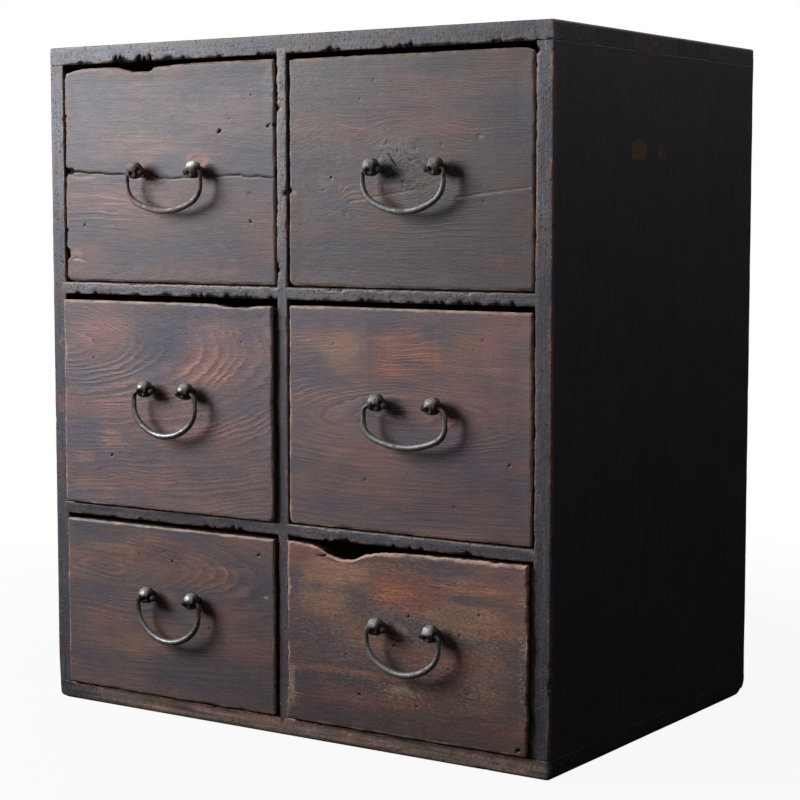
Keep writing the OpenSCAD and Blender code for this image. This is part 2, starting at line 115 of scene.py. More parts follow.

# The fronts. tone and hue scale the wood's colours, and the entry after them scales them again at the lower left,
# lower right, upper left and upper right corner: painted light and shade, mostly lighter at the top and darker
# at the lower right, partly the stain's own change. grain is the line of the tree's heart under the board: place
# along the front, height, slope, how fast it dives under the board, and the ring width; wander is how far the
# rings stray, and lines how clearly they show. edge_wear is how wide the bare edges are, rag how ragged the
# outline is, and corners are the radii of the corners in the same order as that entry. Knots are (place, height,
# radius, how far the lines part round it). top, left, right and bottom say how far an edge is worn in, as (place
# along it, depth). A crack or a scratch runs through (place, height, half width), holes are (place, height,
# radius), and labels, where paper once kept the wood dark, are (left, right, lower, upper, strength). Stains are
# (place, height, half length, half height, strength) in the wood's own colours, and three kinds more: flake is
# lost lacquer, grain bolder ring lines, and burr the rough wood round a knot.
FRONTS = {
    "top_left": {
        "tone": 1.0, "hue": (1.0, 1.0, 1.03), "shade": (1.1, 0.92, 1.08, 1.0),
        "grain": (-205, 300, 0.03, 0.23, 4.6), "wander": 2.6, "lines": 0.75, "corners": (5, 1.5, 3, 2.5),
        "knots": [(-26, 350, 2.6, 4)],
        "top": [(-185, 3.2), (-179, 2), (-168, 0.3), (-148, 0.2), (-136, 0.9), (-124, 3.9), (-110, 4.1),
                (-106.5, 3.3), (-106, 1.5), (-98, 1.2), (-84, 0.5), (-70, 0), (-5, 0.2)],
        "left": [(292, 0), (306, 0.4), (308, 3.2), (313, 3.4), (315, 0.5), (325, 0.2), (326.5, 1.6), (328, 0.2),
                 (362, 0.2), (363.5, 1.2), (368, 1.6), (370, 0.3), (402, 0.2), (403.5, 1.9), (405, 0.2),
                 (430, 0.2), (436, 1.5)],
        "right": [(292, 0), (392, 0.2), (393.5, 1.6), (395, 0.2), (436, 0.3)],
        "bottom": [(-185, 0.3), (-60, 0), (-5, 0.3)],
        "cracks": [[
            (-187, 367, 1.9), (-179, 366.8, 1.9), (-176.5, 366.4, 0.4), (-132, 363.5, 0.22),
            (-108, 361.5, 0.24), (-83, 360.5, 0.16), (-63, 362, 0.12), (-18, 361.5, 0.16), (-5, 360, 0.25)
        ]],
        "holes": [(-50.3, 390.7, 1.2), (-42.3, 398, 0.3), (-24.3, 413, 0.35), (-25, 332.6, 0.8),
                  (-168, 329.7, 0.7), (-11, 393, 1.0), (-9, 394, 0.6), (-135, 398, 0.3), (-161, 345, 0.3)],
        "stains": {
            "warm": [(-46, 402, 34, 18, 0.5), (-108, 384, 52, 9, 0.55), (-60, 376, 40, 8, 0.45),
                     (-150, 345, 40, 14, 0.5), (-90, 300, 60, 9, 0.4), (-25, 345, 22, 12, 0.35)],
            "cool": [(-150, 412, 30, 16, 0.5), (-95, 404, 34, 12, 0.35)],
            "rust": [(-68, 371, 11, 9, 1.0), (-96, 350, 26, 5, 0.5), (-114, 367, 9, 9, 0.85)],
            "ochre": [(-69, 374, 11, 8, 1.0), (-112, 360, 9, 8, 0.7), (-176, 311, 7, 5, 1),
                      (-95, 344, 22, 7, 0.5), (-102, 379, 18, 3, 0.4)],
            "tan": [(-68, 371, 7, 6, 0.6), (-175, 306.8, 4, 0.9, 0.8), (-170, 305.8, 3, 0.8, 0.7),
                    (-168, 362.8, 15, 1.4, 0.7)],
            "flake": [(-95, 350, 26, 9, 0.4), (-105, 381, 46, 11, 0.45), (-170, 364, 14, 6, 0.5)],
            "grain": [(-150, 343, 52, 18, 1.0), (-50, 334, 54, 13, 0.9), (-95, 381, 90, 9, 0.9),
                      (-30, 312, 30, 8, 0.6)],
        },
    },
    "top_right": {
        "tone": 0.97, "hue": (1.0, 1.0, 1.0), "shade": (0.98, 0.88, 1.08, 0.94),
        "grain": (-60, 300, 0.0, 0.09, 2.25), "wander": 1.4, "lines": 0.8, "corners": (5, 1.5, 2, 2.5),
        "knots": [(29, 362, 13, 19), (49, 338, 3.2, 6), (93, 368, 2, 17)],
        "top": [(5, 1), (12, 0.2), (100, 0.3), (170, 0.1), (180, 0.7), (185, 2)],
        "left": [(292, 0), (350, 0.2), (351.2, 1.7), (353.2, 1.5), (354.4, 0.3), (436, 0.6)],
        "right": [(292, 0.3), (425, 0.2), (436, 0.8)],
        "bottom": [(5, 0.5), (60, 0.1), (180, 0.3)],
        "cracks": [[(81, 374, 0.05), (84, 370.5, 0.4), (87, 367, 0.2), (88, 364, 0.0)]],
        "scratches": [[(131, 347, 0.2), (150, 349.6, 0.3), (182, 353, 0.1)], [(146, 384, 0.2), (149, 383, 0.1)],
                      [(52, 345, 0.05), (101, 352, 0.1)]],
        "holes": [(70, 419, 0.35), (60, 408, 0.25), (120, 379.5, 0.3), (150, 345, 0.4), (38, 360, 0.5),
                  (32, 352, 0.3), (88, 376, 0.5), (97, 370, 0.6), (101, 377, 0.4), (84, 361, 0.4),
                  (80, 381, 0.35), (92, 357, 0.4), (74, 372, 0.3)],
        "labels": [(64, 113, 395, 418, 0.35)],
        "stains": {
            "warm": [(100, 408, 42, 16, 0.6), (90, 390, 80, 7, 0.6), (150, 416, 30, 12, 0.35),
                     (60, 352, 40, 7, 0.35)],
            "cool": [(93, 369, 18, 15, 0.95), (55, 312, 60, 16, 0.35), (30, 420, 26, 12, 0.3),
                     (160, 395, 26, 30, 0.3)],
            "rust": [(125, 376, 50, 3, 0.4), (60, 381, 28, 2.5, 0.4)],
            "ochre": [(72, 348, 30, 5, 0.4)],
            "tan": [(147, 383.5, 2.6, 1.2, 0.95), (9, 351.5, 2.6, 2, 1)],
            "flake": [(93, 370, 20, 15, 0.7), (30, 360, 18, 12, 0.25)],
            "grain": [(95, 392, 88, 14, 1.0), (60, 345, 56, 12, 0.8), (110, 330, 70, 9, 0.5)],
            "burr": [(93, 367, 23, 20, 1.0)],
        },
    },
    "middle_left": {
        "tone": 1.5, "hue": (0.98, 1.05, 1.09), "shade": (1.1, 1.0, 1.03, 1.12),
        "grain": (-190, 249, 0.0, 0.29, 3.3), "wander": 2.8, "lines": 0.9, "corners": (3, 3, 1.5, 1.5),
        "top": [(-185, 0.3), (-60, 0.2), (-51, 0.6), (-45, 1.7), (-37, 2.1), (-27, 1.7), (-17, 0.9), (-5, 0.4)],
        "left": [(140, 0), (180, 0.2), (280, 0.1)],
        "right": [(140, 0.3), (200, 0), (218, 0.9), (232, 0.2), (280, 0.4)],
        "bottom": [(-185, 0.2), (-5, 0.2)],
        "holes": [(-142, 174.5, 0.9), (-30, 255, 0.5), (-158, 240, 0.5), (-64, 205, 0.5)],
        "labels": [(-121, -75, 240, 275, 0.5)],
        "stains": {
            "warm": [(-150, 255, 34, 22, 0.6), (-50, 246, 34, 26, 0.75), (-100, 205, 60, 20, 0.5),
                     (-100, 160, 90, 12, 0.25)],
            "cool": [(-96, 254, 25, 15, 0.95), (-22, 225, 18, 40, 0.3)],
            "rust": [(-48, 262, 22, 5, 0.45), (-70, 232, 28, 6, 0.4), (-143, 186, 15, 9, 0.5),
                     (-167, 173, 10, 6, 0.4), (-90, 185, 12, 4, 0.45)],
            "ochre": [(-160, 152, 26, 8, 0.3)],
            "tan": [(-184, 244, 2.4, 8, 0.7)],
            "grain": [(-45, 245, 44, 34, 1.0), (-150, 235, 50, 30, 0.8), (-40, 205, 44, 22, 0.6)],
        },
    },
    "middle_right": {
        "tone": 1.5, "hue": (1.0, 0.99, 0.98), "shade": (1.1, 0.98, 1.12, 1.28),
        "grain": (94, 214, 0.02, 0.2, 2.7), "wander": 2.2, "lines": 0.85, "corners": (3.5, 2, 2, 1.5),
        "top": [(5, 0.5), (20, 0.2), (184, 0.3)],
        "left": [(140, 0.6), (150, 0), (280, 0.5)],
        "right": [(140, 0.5), (200, 0.2), (280, 0.4)],
        "bottom": [(5, 0.3), (100, 0.1), (184, 0.5)],
        "holes": [(40, 256, 0.5), (150, 262, 0.5), (64, 172, 0.5), (130, 160, 0.5), (169, 188, 0.6)],
        "labels": [(66, 115, 228, 272, 0.45)],
        "stains": {
            "warm": [(94, 252, 30, 20, 1.0), (30, 260, 24, 10, 0.5), (146, 255, 30, 14, 0.6),
                     (140, 218, 40, 14, 0.5), (100, 164, 70, 12, 0.35)],
            "cool": [(97, 246.5, 13, 3.4, 0.9), (90, 233, 18, 3, 0.6), (172, 210, 12, 60, 0.35)],
            "rust": [(82, 259, 16, 4, 0.75), (108, 251, 16, 3.5, 0.6), (84, 241, 16, 3, 0.6),
                     (140, 244, 26, 3, 0.35)],
            "ochre": [(46, 252, 22, 14, 0.75), (40, 210, 30, 24, 0.25)],
            "grain": [(94, 222, 90, 16, 0.9), (120, 190, 64, 14, 0.6)],
        },
    },
    "bottom_left": {
        "tone": 1.3, "hue": (0.98, 1.05, 1.0), "shade": (1.02, 0.76, 1.14, 1.08), "edge_wear": 0.9,
        "grain": (-152, 97, 0.02, 0.2, 2.8), "wander": 2.3, "lines": 0.75, "corners": (2, 1.5, 2, 1.5),
        "top": [(-185, 0.3), (-90, 0.2), (-5, 0.2)],
        "left": [(12, 0.3), (60, 0), (129, 0.2)],
        "right": [(12, 0.2), (90, 0.1), (110, 0.4), (129, 0.3)],
        "bottom": [(-185, 0.2), (-5, 0.3)],
        "holes": [(-18, 117, 0.9), (-120, 108, 0.5), (-60, 64, 0.5), (-98, 112, 0.6), (-91, 106, 0.7)],
        "labels": [(-125, -78, 103, 118, 0.35)],
        "stains": {
            "warm": [(-100, 108, 56, 14, 0.6), (-60, 96, 36, 12, 0.6), (-150, 62, 26, 14, 0.35)],
            "cool": [(-98, 112, 20, 6, 0.6), (-152, 97, 22, 4, 0.4), (-60, 32, 66, 18, 0.5)],
            "rust": [(-140, 111, 26, 4, 0.55), (-110, 119, 26, 4, 0.5), (-40, 104, 22, 3, 0.5)],
            "ochre": [(-130, 47, 36, 10, 0.4), (-95, 80, 14, 6, 0.35)],
            "tan": [(-12, 90, 2.6, 1.1, 0.6)],
            "grain": [(-90, 92, 88, 20, 0.8)],
        },
    },
    "bottom_right": {
        "tone": 1.6, "hue": (1.05, 0.98, 0.86), "shade": (0.56, 0.62, 1.16, 1.38), "edge_wear": 1.5, "rag": 0.6,
        "grain": (40, -60, 0.035, 0.05, 3.4), "wander": 2.4, "lines": 0.7, "corners": (2.5, 2.5, 2, 2.5),
        "top": [(5, 0.7), (14, 0.8), (20, 1.4), (27, 2.2), (32, 3.6), (37, 6.2), (42, 7.9), (48, 8.8),
                (56, 8.6), (60, 7.2), (64, 5.4), (69, 3.4), (80, 2), (94, 1.2), (120, 0.7), (150, 0.4),
                (186, 0.2)],
        "left": [(12, 0.5), (32, 0.3), (36, 0.9), (44, 0.2), (130, 0.3)],
        "right": [(12, 0.4), (30, 0.9), (34, 0.2), (62, 0.8), (80, 0.2), (100, 0.9), (130, 0.6)],
        "bottom": [(5, 0.3), (100, 0.2), (186, 0.6)],
        "cracks": [[(36, 122.4, 0.5), (33, 121.2, 0.35), (29.5, 120.9, 0.15)]],
        "holes": [(178, 17, 1.4), (52, 60, 0.5), (88, 70, 0.7), (120, 76, 0.8), (136, 82, 0.7), (62, 36, 0.8),
                  (150, 96, 0.6), (128, 60, 0.6), (99, 90, 0.8), (105, 34, 0.6), (44, 84, 0.5), (142, 46, 0.5)],
        "labels": [(70, 122, 95, 125, 0.5)],
        "stains": {
            "warm": [(100, 104, 40, 16, 1.0), (130, 64, 44, 10, 0.7), (60, 30, 60, 12, 0.5)],
            "cool": [(96, 86, 26, 7, 0.8), (30, 64, 24, 20, 0.5), (70, 24, 66, 10, 0.5)],
            "rust": [(84, 104, 22, 9, 0.9), (138, 112, 36, 7, 0.75), (60, 49, 60, 2.6, 0.6),
                     (20, 51, 16, 2, 0.5)],
            "ochre": [(40, 110, 32, 10, 0.95), (36, 92, 24, 12, 0.6), (140, 92, 40, 12, 0.6),
                      (70, 70, 30, 8, 0.4), (160, 50, 20, 20, 0.35)],
            "tan": [(92, 82, 7, 4, 0.55), (94, 43, 10, 4, 0.5), (9, 36, 3, 16, 0.6)],
            "flake": [(9, 38, 8, 22, 1), (94, 43, 18, 7, 1), (94, 81, 13, 5, 1), (150, 46, 22, 14, 0.55),
                      (182, 70, 5, 60, 0.7), (95, 70, 110, 62, 0.3), (150, 84, 26, 20, 0.5)],
        },
    },
}

# Per handle: distance between the two eyes, widest span of the wire's middle, and its drop below the eyes
HANDLES = {
    "top_left": (50.5, 62.5, 25),
    "middle_left": (35, 52, 29),
    "bottom_left": (39, 52, 28),
    "top_right": (47, 58.8, 25.5),
    "middle_right": (41.5, 60, 25),
    "bottom_right": (40.5, 53, 26.5),
}

# Per handle: how rusty it is, how rough, and how light
IRON = {
    "top_left": (0.9, 0.42, 1.15),
    "middle_left": (0.2, 0.22, 0.75),
    "bottom_left": (0.1, 0.28, 0.75),
    "top_right": (0.45, 0.42, 1.05),
    "middle_right": (0.35, 0.38, 1.0),
    "bottom_right": (0.3, 0.42, 1.1),
}

# Rubbed places on the case: board, centre in X, Y and Z, reach in X, Y and Z, strength
RUBBED = {
    "top_board": [((-108, -138, 443), (14, 4, 5), 0.5), ((-94, -138, 441), (8, 4, 3), 0.42),
                  ((40, -138, 446), (30, 4, 2), 0.3)],
    "centre_upright": [((-4, -138, 418), (3, 4, 22), 1.0), ((3, -138, 406), (2, 4, 14), 0.5),
                       ((-3, -138, 335), (2, 4, 20), 0.35)],
    "left_side_board": [((-192, -138, 207), (5, 4, 9), 0.6), ((-190, -138, 250), (5, 4, 10), 0.5),
                        ((-191, -138, 160), (5, 4, 30), 0.35)],
    "right_side_board": [((197, -138, 365), (2.6, 3, 6), 1.0), ((196, -138, 420), (4, 3, 18), 0.5),
                         ((197, -138, 270), (3, 3, 30), 0.5), ((198, -31, 377), (5, 14, 10), 1.0),
                         ((198, 1, 377), (5, 13, 13), 0.48), ((197, -138, 186), (3, 4, 12), 0.6),
                         ((190, -138, 120), (6, 4, 50), 0.2)],
    "bottom_board": [((-150, -138, 6), (40, 6, 6), 0.35), ((-40, -138, 8), (60, 6, 4), 0.6),
                     ((40, -138, 7), (50, 6, 6), 0.5), ((150, -138, 9), (44, 6, 4), 0.45),
                     ((100, -138, 5), (30, 6, 5), 0.5), ((176, -138, 5), (20, 6, 6), 0.55)],
}


def size_property(name, millimetres, description):
    """A length that the user may change."""
    return FloatProperty(name=name, description=description, default=millimetres * MM, unit="LENGTH", precision=4)


def colour_property(name, default, description):
    """A colour that the user may change."""
    return FloatVectorProperty(
        name=name, description=description, subtype="COLOR", size=3, min=0, max=1, default=default
    )


class TansuBoardSizes(bpy.types.PropertyGroup):
    """Sizes of the worn case boards."""

    arris: size_property("Arris", 0.7, "Radius of an edge that wear has only eased")
    step: size_property("Grid step", 1.3, "Distance between a board's grid lines along its front edge")
    rear_corner: size_property("Rear foot corner", 12, "Radius of the case's rubbed lower rear corners")
    foot_corner: size_property("Left foot corner", 8, "Radius of the case's rubbed lower left corner")
    top_corner: size_property("Top corner", 2.6, "Radius of the case's upper corners")


class TansuFrontSizes(bpy.types.PropertyGroup):
    """Sizes of the drawer fronts."""

    arris: size_property("Arris", 1.3, "Radius of a front's eased outer edge")
    step: size_property("Grid step", 0.8, "Distance between the grid lines of a front's face")
    thickness: size_property("Thickness", 12, "Thickness of a front")
    rabbet: size_property("Rabbet", 6, "Depth of the rabbets that take the sides and the bottom")
    side: size_property("Side", 8, "Thickness of a drawer's side")
    bottom: size_property("Bottom", 5.7, "Height of the bottom's upper face above the front's lower edge")
    warp: size_property("Warp", 0.35, "How far a face strays from flat")


class TansuHandleSizes(bpy.types.PropertyGroup):
    """Sizes of the forged handles."""

    wire: size_property("Wire", 1.36, "Radius of a bail's wire beside its eyes")
    belly: size_property("Belly", 2.05, "Radius of a bail's wire at its lowest point")
    knob: size_property("Knob", 2.1, "Radius of the knob on each end of a bail")
    head: size_property("Head", 5.65, "Radius of a post's ball head")
    flank: size_property("Flank", 4.1, "Half width of a head between its flattened flanks")
    shoulder: size_property("Shoulder", 4.0, "From a head's middle to where a bail starts to bend")
    rise: size_property("Rise", 1.5, "Height of a head's middle above the eye")
    sides: IntProperty(name="Sides", description="Faces round a bail's wire", default=18, min=8, max=48)


class TansuColours(bpy.types.PropertyGroup):
    """Colours of the chest's woods and iron."""

    lacquer: colour_property("Lacquer", (0.037, 0.034, 0.040), "Old wiped lacquer on the case")
    bloom: colour_property("Bloom", (0.097, 0.095, 0.120), "Cool bloom on the lacquer")
    side_black: colour_property("Side black", (0.0102, 0.0106, 0.0150), "Lacquer on the outer sides")
    stain: colour_property("Stain", (0.108, 0.067, 0.064), "Brown grey stain of the fronts")
    umber: colour_property("Umber", (0.054, 0.036, 0.038), "Dark parts of the stain")
    red: colour_property("Red", (0.155, 0.067, 0.053), "Reddish stain that the hands have polished")
    rust: colour_property("Rust", (0.265, 0.108, 0.064), "Orange streaks and rust stains")
    ochre: colour_property("Ochre", (0.200, 0.108, 0.070), "Yellowish rubbed wood")
    blue: colour_property("Blue grey", (0.047, 0.042, 0.060), "Bluish dark patches of the stain")
    bare: colour_property("Bare wood", (0.420, 0.290, 0.205), "Pale wood where the stain is worn off")
    base_brown: colour_property("Base brown", (0.192, 0.147, 0.116), "Rubbed lacquer of the bottom board")
    iron: colour_property("Iron", (0.085, 0.080, 0.074), "Dark forged iron")
    # Also the colour of the painted highlight on the posts' heads
    iron_worn: colour_property("Worn iron", (0.36, 0.35, 0.34), "Iron that fingers have brightened")
    iron_rust: colour_property("Iron rust", (0.135, 0.065, 0.032), "Brown rust on the iron")
    cedar: colour_property("Cedar", (0.270, 0.168, 0.105), "Aged back boards")
    paulownia: colour_property("Paulownia", (0.330, 0.215, 0.125), "Bare wood inside the drawers")


class TansuStage(bpy.types.PropertyGroup):
    """The camera, the floor and the lamps."""

    camera_at: FloatVectorProperty(
        name="Camera", description="Where the camera stands", subtype="TRANSLATION", unit="LENGTH", size=3,
        default=(0.7952, -1.1870, 0.3389),
    )
    yaw: FloatProperty(
        name="Yaw", description="How far left of straight ahead the camera looks", subtype="ANGLE",
        default=math.radians(33.89),
    )
    pitch: FloatProperty(
        name="Pitch", description="How far down the camera looks", subtype="ANGLE", default=math.radians(5.22)
    )
    lens: FloatProperty(
        name="Lens", description="Focal length on a 36 mm wide sensor", subtype="DISTANCE_CAMERA", default=92.77
    )
    window: FloatProperty(
        name="Window", description="Power of the soft window light", subtype="POWER", unit="POWER", default=20
    )
    overhead: FloatProperty(
        name="Overhead", description="Power of the weak light above", subtype="POWER", unit="POWER", default=3
    )
    room: FloatProperty(name="Room", description="Strength of the light from the room's walls", default=0.1, min=0)


SETTINGS = {
    "tansu_boards": TansuBoardSizes, "tansu_fronts": TansuFrontSizes, "tansu_handles": TansuHandleSizes,
    "tansu_colours": TansuColours, "tansu_stage": TansuStage,
}


# Shapes ---------------------------------------------------------------------------------------------------


def smooth(value, low, high):
    """0 below low, 1 above high, and 3s² - 2s³ of the share s between them."""
    share = np.clip((value - low) / (high - low), 0, 1)
    return share * share * (3 - 2 * share)


def fade(value, low, high):
    """1 below low and 0 above high, as smoothly."""
    return 1 - smooth(value, low, high)


def noise(points, seed):
    """Noise from -1 to 1 in one to three dimensions: a value for each corner of a unit lattice from an integer
    hash, blended across each cell by 3t² - 2t³."""
    cell = np.floor(points).astype(np.int64)
    share = points - cell
    share = share * share * (3 - 2 * share)
    total = np.zeros(len(points))
    primes = (374761393, 668265263, 2147483629)
    for corner in itertools.product((0, 1), repeat=points.shape[1]):
        mixed = np.full(len(points), seed * 1274126177, np.int64)
        weight = np.ones(len(points))
        for axis, up in enumerate(corner):
            mixed += (cell[:, axis] + up) * primes[axis]
            weight *= share[:, axis] if up else 1 - share[:, axis]
        mixed &= 0xFFFFFFFF
        mixed = ((mixed ^ (mixed >> 13)) * 1274126177) & 0xFFFFFFFF
        mixed = ((mixed ^ (mixed >> 15)) * 668265263) & 0xFFFFFFFF
        total += weight * ((mixed ^ (mixed >> 16)) / 0xFFFFFFFF)
    return 2 * total - 1


def grit(points, size, seed, octaves=3):
    """Noise whose lumps are about size across, in octaves that halve in size and strength."""
    points = np.atleast_2d(np.asarray(points, float).T).T / size
    return sum(noise(points * 2**k + 17.3 * k, seed + k) / 2**k for k in range(octaves))


def spaced(low, high, step, fine=(0, 0.3, 0.7, 1.2, 1.9, 2.8, 4.0)):
    """Places from low to high: the fine offsets at both ends and even steps between them."""
    fine = np.array(fine) * min(1, (high - low) / 2.2 / fine[-1])
    count = max(2, round((high - low - 2 * fine[-1]) / step) + 1)
    middle = np.linspace(low + fine[-1], high - fine[-1], count)
    return np.concatenate([low + fine[:-1], middle, (high - fine[:-1])[::-1]])


def quads(ids):
    """Four-sided faces between neighbours in a grid of point numbers; rows run along the first index."""
    return np.stack([ids[:-1, :-1], ids[1:, :-1], ids[1:, 1:], ids[:-1, 1:]], -1).reshape(-1, 4)


def closed(ids):
    """A grid of point numbers whose rows come back to their first point."""
    return np.concatenate([ids, ids[:, :1]], 1)


def circle(count):
    """Even angles once round."""
    return np.linspace(0, 2 * math.pi, count, endpoint=False)


def capped(rings):
    """Rings of points as one skin, with a flat face over the first and the last ring."""
    ids = np.arange(rings.shape[0] * rings.shape[1]).reshape(rings.shape[:2])
    return rings.reshape(-1, 3), [quads(closed(ids)), ids[:1], ids[-1:, ::-1]]


def box_skin(xs, ys, zs):
    """The closed skin of a box whose grid lines stand at xs, ys and zs: six plane grids that share the points on
    their edges. Returns the points and the outward faces."""
    shape = (len(xs), len(ys), len(zs))
    index = np.meshgrid(*[np.arange(n) for n in shape], indexing="ij")
    skin = np.any([(i == 0) | (i == n - 1) for i, n in zip(index, shape)], axis=0)
    ids = np.full(shape, -1)
    ids[skin] = np.arange(skin.sum())
    points = np.stack([np.asarray(line)[i[skin]] for line, i in zip((xs, ys, zs), index)], 1)
    sides = [
        quads(ids[0])[:, ::-1], quads(ids[-1]), quads(ids[:, 0]), quads(ids[:, -1])[:, ::-1],
        quads(ids[:, :, 0])[:, ::-1], quads(ids[:, :, -1]),
    ]
    return points, np.concatenate(sides)


def ease_edges(points, low, high, radius):
    """Each point is moved to stand off a smaller inner box by its own radius: faces stay flat, edges turn in
    quarter circles and corners in eighths of a ball."""
    radius = np.broadcast_to(radius, len(points))[:, None]
    inner = np.clip(points, low + radius, high - radius)
    off = points - inner
    return inner + off * radius / np.maximum(np.linalg.norm(off, axis=1, keepdims=True), 1e-9)


def edge_distance(points, low, high):
    """How far a point on a box's skin is from the nearest edge: the second smallest distance to its faces."""
    return np.sort(np.minimum(points - low, high - points), axis=1)[:, 1]


def round_corner(points, axes, corner, radius):
    """Wears a square corner round in the plane of two axes: inside the radius, a point's offset from the arc's
    centre shrinks by the ratio of its larger part to its length. corner is a place, and the signs of its sides,
    as ((a, side a), (b, side b))."""
    u, v = (np.maximum(0, (points[:, axis] - at) * side + radius) for axis, (at, side) in zip(axes, corner))
    both = (u > 0) & (v > 0)
    scale = np.where(both, np.maximum(u, v) / np.maximum(np.hypot(u, v), 1e-9), 1)
    moved = points.copy()
    for axis, (_, side), offset in zip(axes, corner, (u, v)):
        moved[:, axis] += np.where(both, (scale - 1) * offset * side, 0)
    return moved


def bites(places, ragged, listed, seed):
    """Depth of wear along an edge: small ragged chewing from noise, and each listed bite as a hollow whose depth
    is √(1 - (2·distance/length)²) of the deepest, roughened by noise."""
    chewing = np.maximum(0, 0.3 + 0.8 * grit(places, 11, seed, 3))
    depth = ragged * (chewing + 2.2 * np.maximum(0, grit(places, 5, seed + 5, 2) - 0.35))
    rough = 0.8 + 0.6 * grit(places, 4.5, seed + 9, 2)
    fine = 0.85 + 0.75 * grit(places, 1.7, seed + 13, 2)
    for centre, length, deepest in listed:
        hollow = np.maximum(0, 1 - (2 * (places - centre) / length) ** 2)
        depth = np.maximum(depth, deepest * np.sqrt(hollow) * rough * fine)
    return depth


def tube(path, radius, sides):
    """A round section carried along a path: at each point a circle of that point's radius in the plane of the
    path's in-plane normal and Y, closed by a point at each end."""
    tangent = np.gradient(path, axis=0)
    tangent /= np.linalg.norm(tangent, axis=1, keepdims=True)
    across = np.cross(tangent, [0, 1, 0])
    across /= np.linalg.norm(across, axis=1, keepdims=True)
    turn = circle(sides)[None, :, None]
    ring = radius[:, None, None] * (np.cos(turn) * across[:, None] + np.sin(turn) * np.array([0, 1, 0]))
    points = (path[:, None] + ring).reshape(-1, 3)
    first, last = len(points), len(points) + 1
    ids = closed(np.arange(len(points)).reshape(len(path), sides))
    start = np.stack([np.full(sides, first), ids[0, :-1], ids[0, 1:]], 1)
    end = np.stack([np.full(sides, last), ids[-1, 1:], ids[-1, :-1]], 1)
    return np.concatenate([points, path[:1], path[-1:]]), [quads(ids), start, end]


def joined(parts):
    """Several skins as one: their points end to end, and their faces renumbered."""
    points, faces, start = [], [], 0
    for part_points, part_faces in parts:
        points.append(part_points)
        faces += [group + start for group in part_faces]
        start += len(part_points)
    return np.concatenate(points), faces


def add_piece(name, points, faces, finish, body, stands_for, fields):
    """Puts points in millimetres and groups of faces into a smooth-shaded mesh, with a float attribute for each
    field, and lets it ride on its body."""
    mesh = bpy.data.meshes.new(name)
    mesh.vertices.add(len(points))
    mesh.vertices.foreach_set("co", (points * MM).astype(np.float32).ravel())
    sizes = np.concatenate([np.full(len(group), group.shape[1]) for group in faces])
    mesh.loops.add(int(sizes.sum()))
    corners = np.concatenate([group.ravel() for group in faces])
    mesh.loops.foreach_set("vertex_index", corners.astype(np.int32))
    mesh.polygons.add(len(sizes))
    mesh.polygons.foreach_set("loop_start", (np.cumsum(sizes) - sizes).astype(np.int32))
    mesh.update(calc_edges=True)
    mesh.shade_smooth()
    for field, values in fields.items():
        values = np.broadcast_to(values, len(points)).astype(np.float32)
        mesh.attributes.new(field, "FLOAT", "POINT").data.foreach_set("value", values)
    mesh.materials.append(finish)
    piece = bpy.data.objects.new(name, mesh)
    bpy.context.scene.collection.objects.link(piece)
    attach(piece, body)
    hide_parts(stands_for)


def node_box(node):
    """Lowest and highest corner of a node in millimetres."""
    return [np.round(np.array(corner) / MM, 3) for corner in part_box(node)]


# Finishes -------------------------------------------------------------------------------------------------


class Value:
    """An output socket in a node tree. Python's operators on values add Math nodes."""

    def __init__(self, nodes, socket):
        self.nodes, self.socket = nodes, socket

    def math(self, operation, *inputs, clamp=False):
        return self.nodes.add("Math", {"operation": operation, "use_clamp": clamp}, dict(enumerate(inputs)))

    def __add__(self, other):
        return self.math("ADD", self, other)

    def __sub__(self, other):
        return self.math("SUBTRACT", self, other)

    def __rsub__(self, other):
        return self.math("SUBTRACT", other, self)

    def __mul__(self, other):
        return self.math("MULTIPLY", self, other)

    def __abs__(self):
        return self.math("ABSOLUTE", self)

    __radd__, __rmul__ = __add__, __mul__

    def fraction(self):
        return self.math("FRACT", self)

    def most(self, other):
        return self.math("MAXIMUM", self, other)

    def clamped(self):
        return self.math("ADD", self, 0.0, clamp=True)

    def fit(self, low, high, to=(0.0, 1.0)):
        """A smooth step of this value from low to high; the limits may be values too."""
        inputs = {"Value": self, "From Min": low, "From Max": high, "To Min": to[0], "To Max": to[1]}
        return self.nodes.add("MapRange", {"interpolation_type": "SMOOTHSTEP"}, inputs)

    def fade(self, low, high):
        """1 below low, and 0 above high."""
        return 1 - self.fit(low, high)

    def late_wood(self, low, high):
        """The dark part of each ring of a ring count's fraction: it comes slowly and ends sharply."""
        return self.fit(low, high) * self.fade(0.88, 1.0)


class Nodes:
    """A node tree that ends in one output node, which its maker feeds."""

    def __init__(self, tree, output):
        self.tree = tree
        tree.nodes.clear()
        self.output = tree.nodes.new("ShaderNodeOutput" + output)

    def feed(self, node, inputs):
        for socket, value in inputs.items():
            target = node.inputs[socket.replace("_", " ") if isinstance(socket, str) else socket]
            if isinstance(value, Value):
                self.tree.links.new(value.socket, target)
            else:
                target.default_value = (*value, 1) if target.type == "RGBA" and len(value) == 3 else value

    def add(self, kind, settings=None, inputs=None, output=0):
        """A node of that type: its settings first, then its sockets."""
        node = self.tree.nodes.new("ShaderNode" + kind)
        for key, setting in (settings or {}).items():
            setattr(node, key, setting)
        self.feed(node, inputs or {})
        return Value(self, node.outputs[output])

    def looked_at(self):
        """1 for rays from the camera, from glossy surfaces and through clear ones."""
        camera, glossy, clear = (
            self.add("LightPath", output=f"Is {kind} Ray") for kind in ("Camera", "Glossy", "Transmission")
        )
        return camera.most(glossy).most(clear)

    def mixed(self, share, under, over):
        """Ends the tree in one shader laid over another by a share."""
        self.feed(self.output, {0: self.add("MixShader", None, {0: share, 1: under, 2: over})})


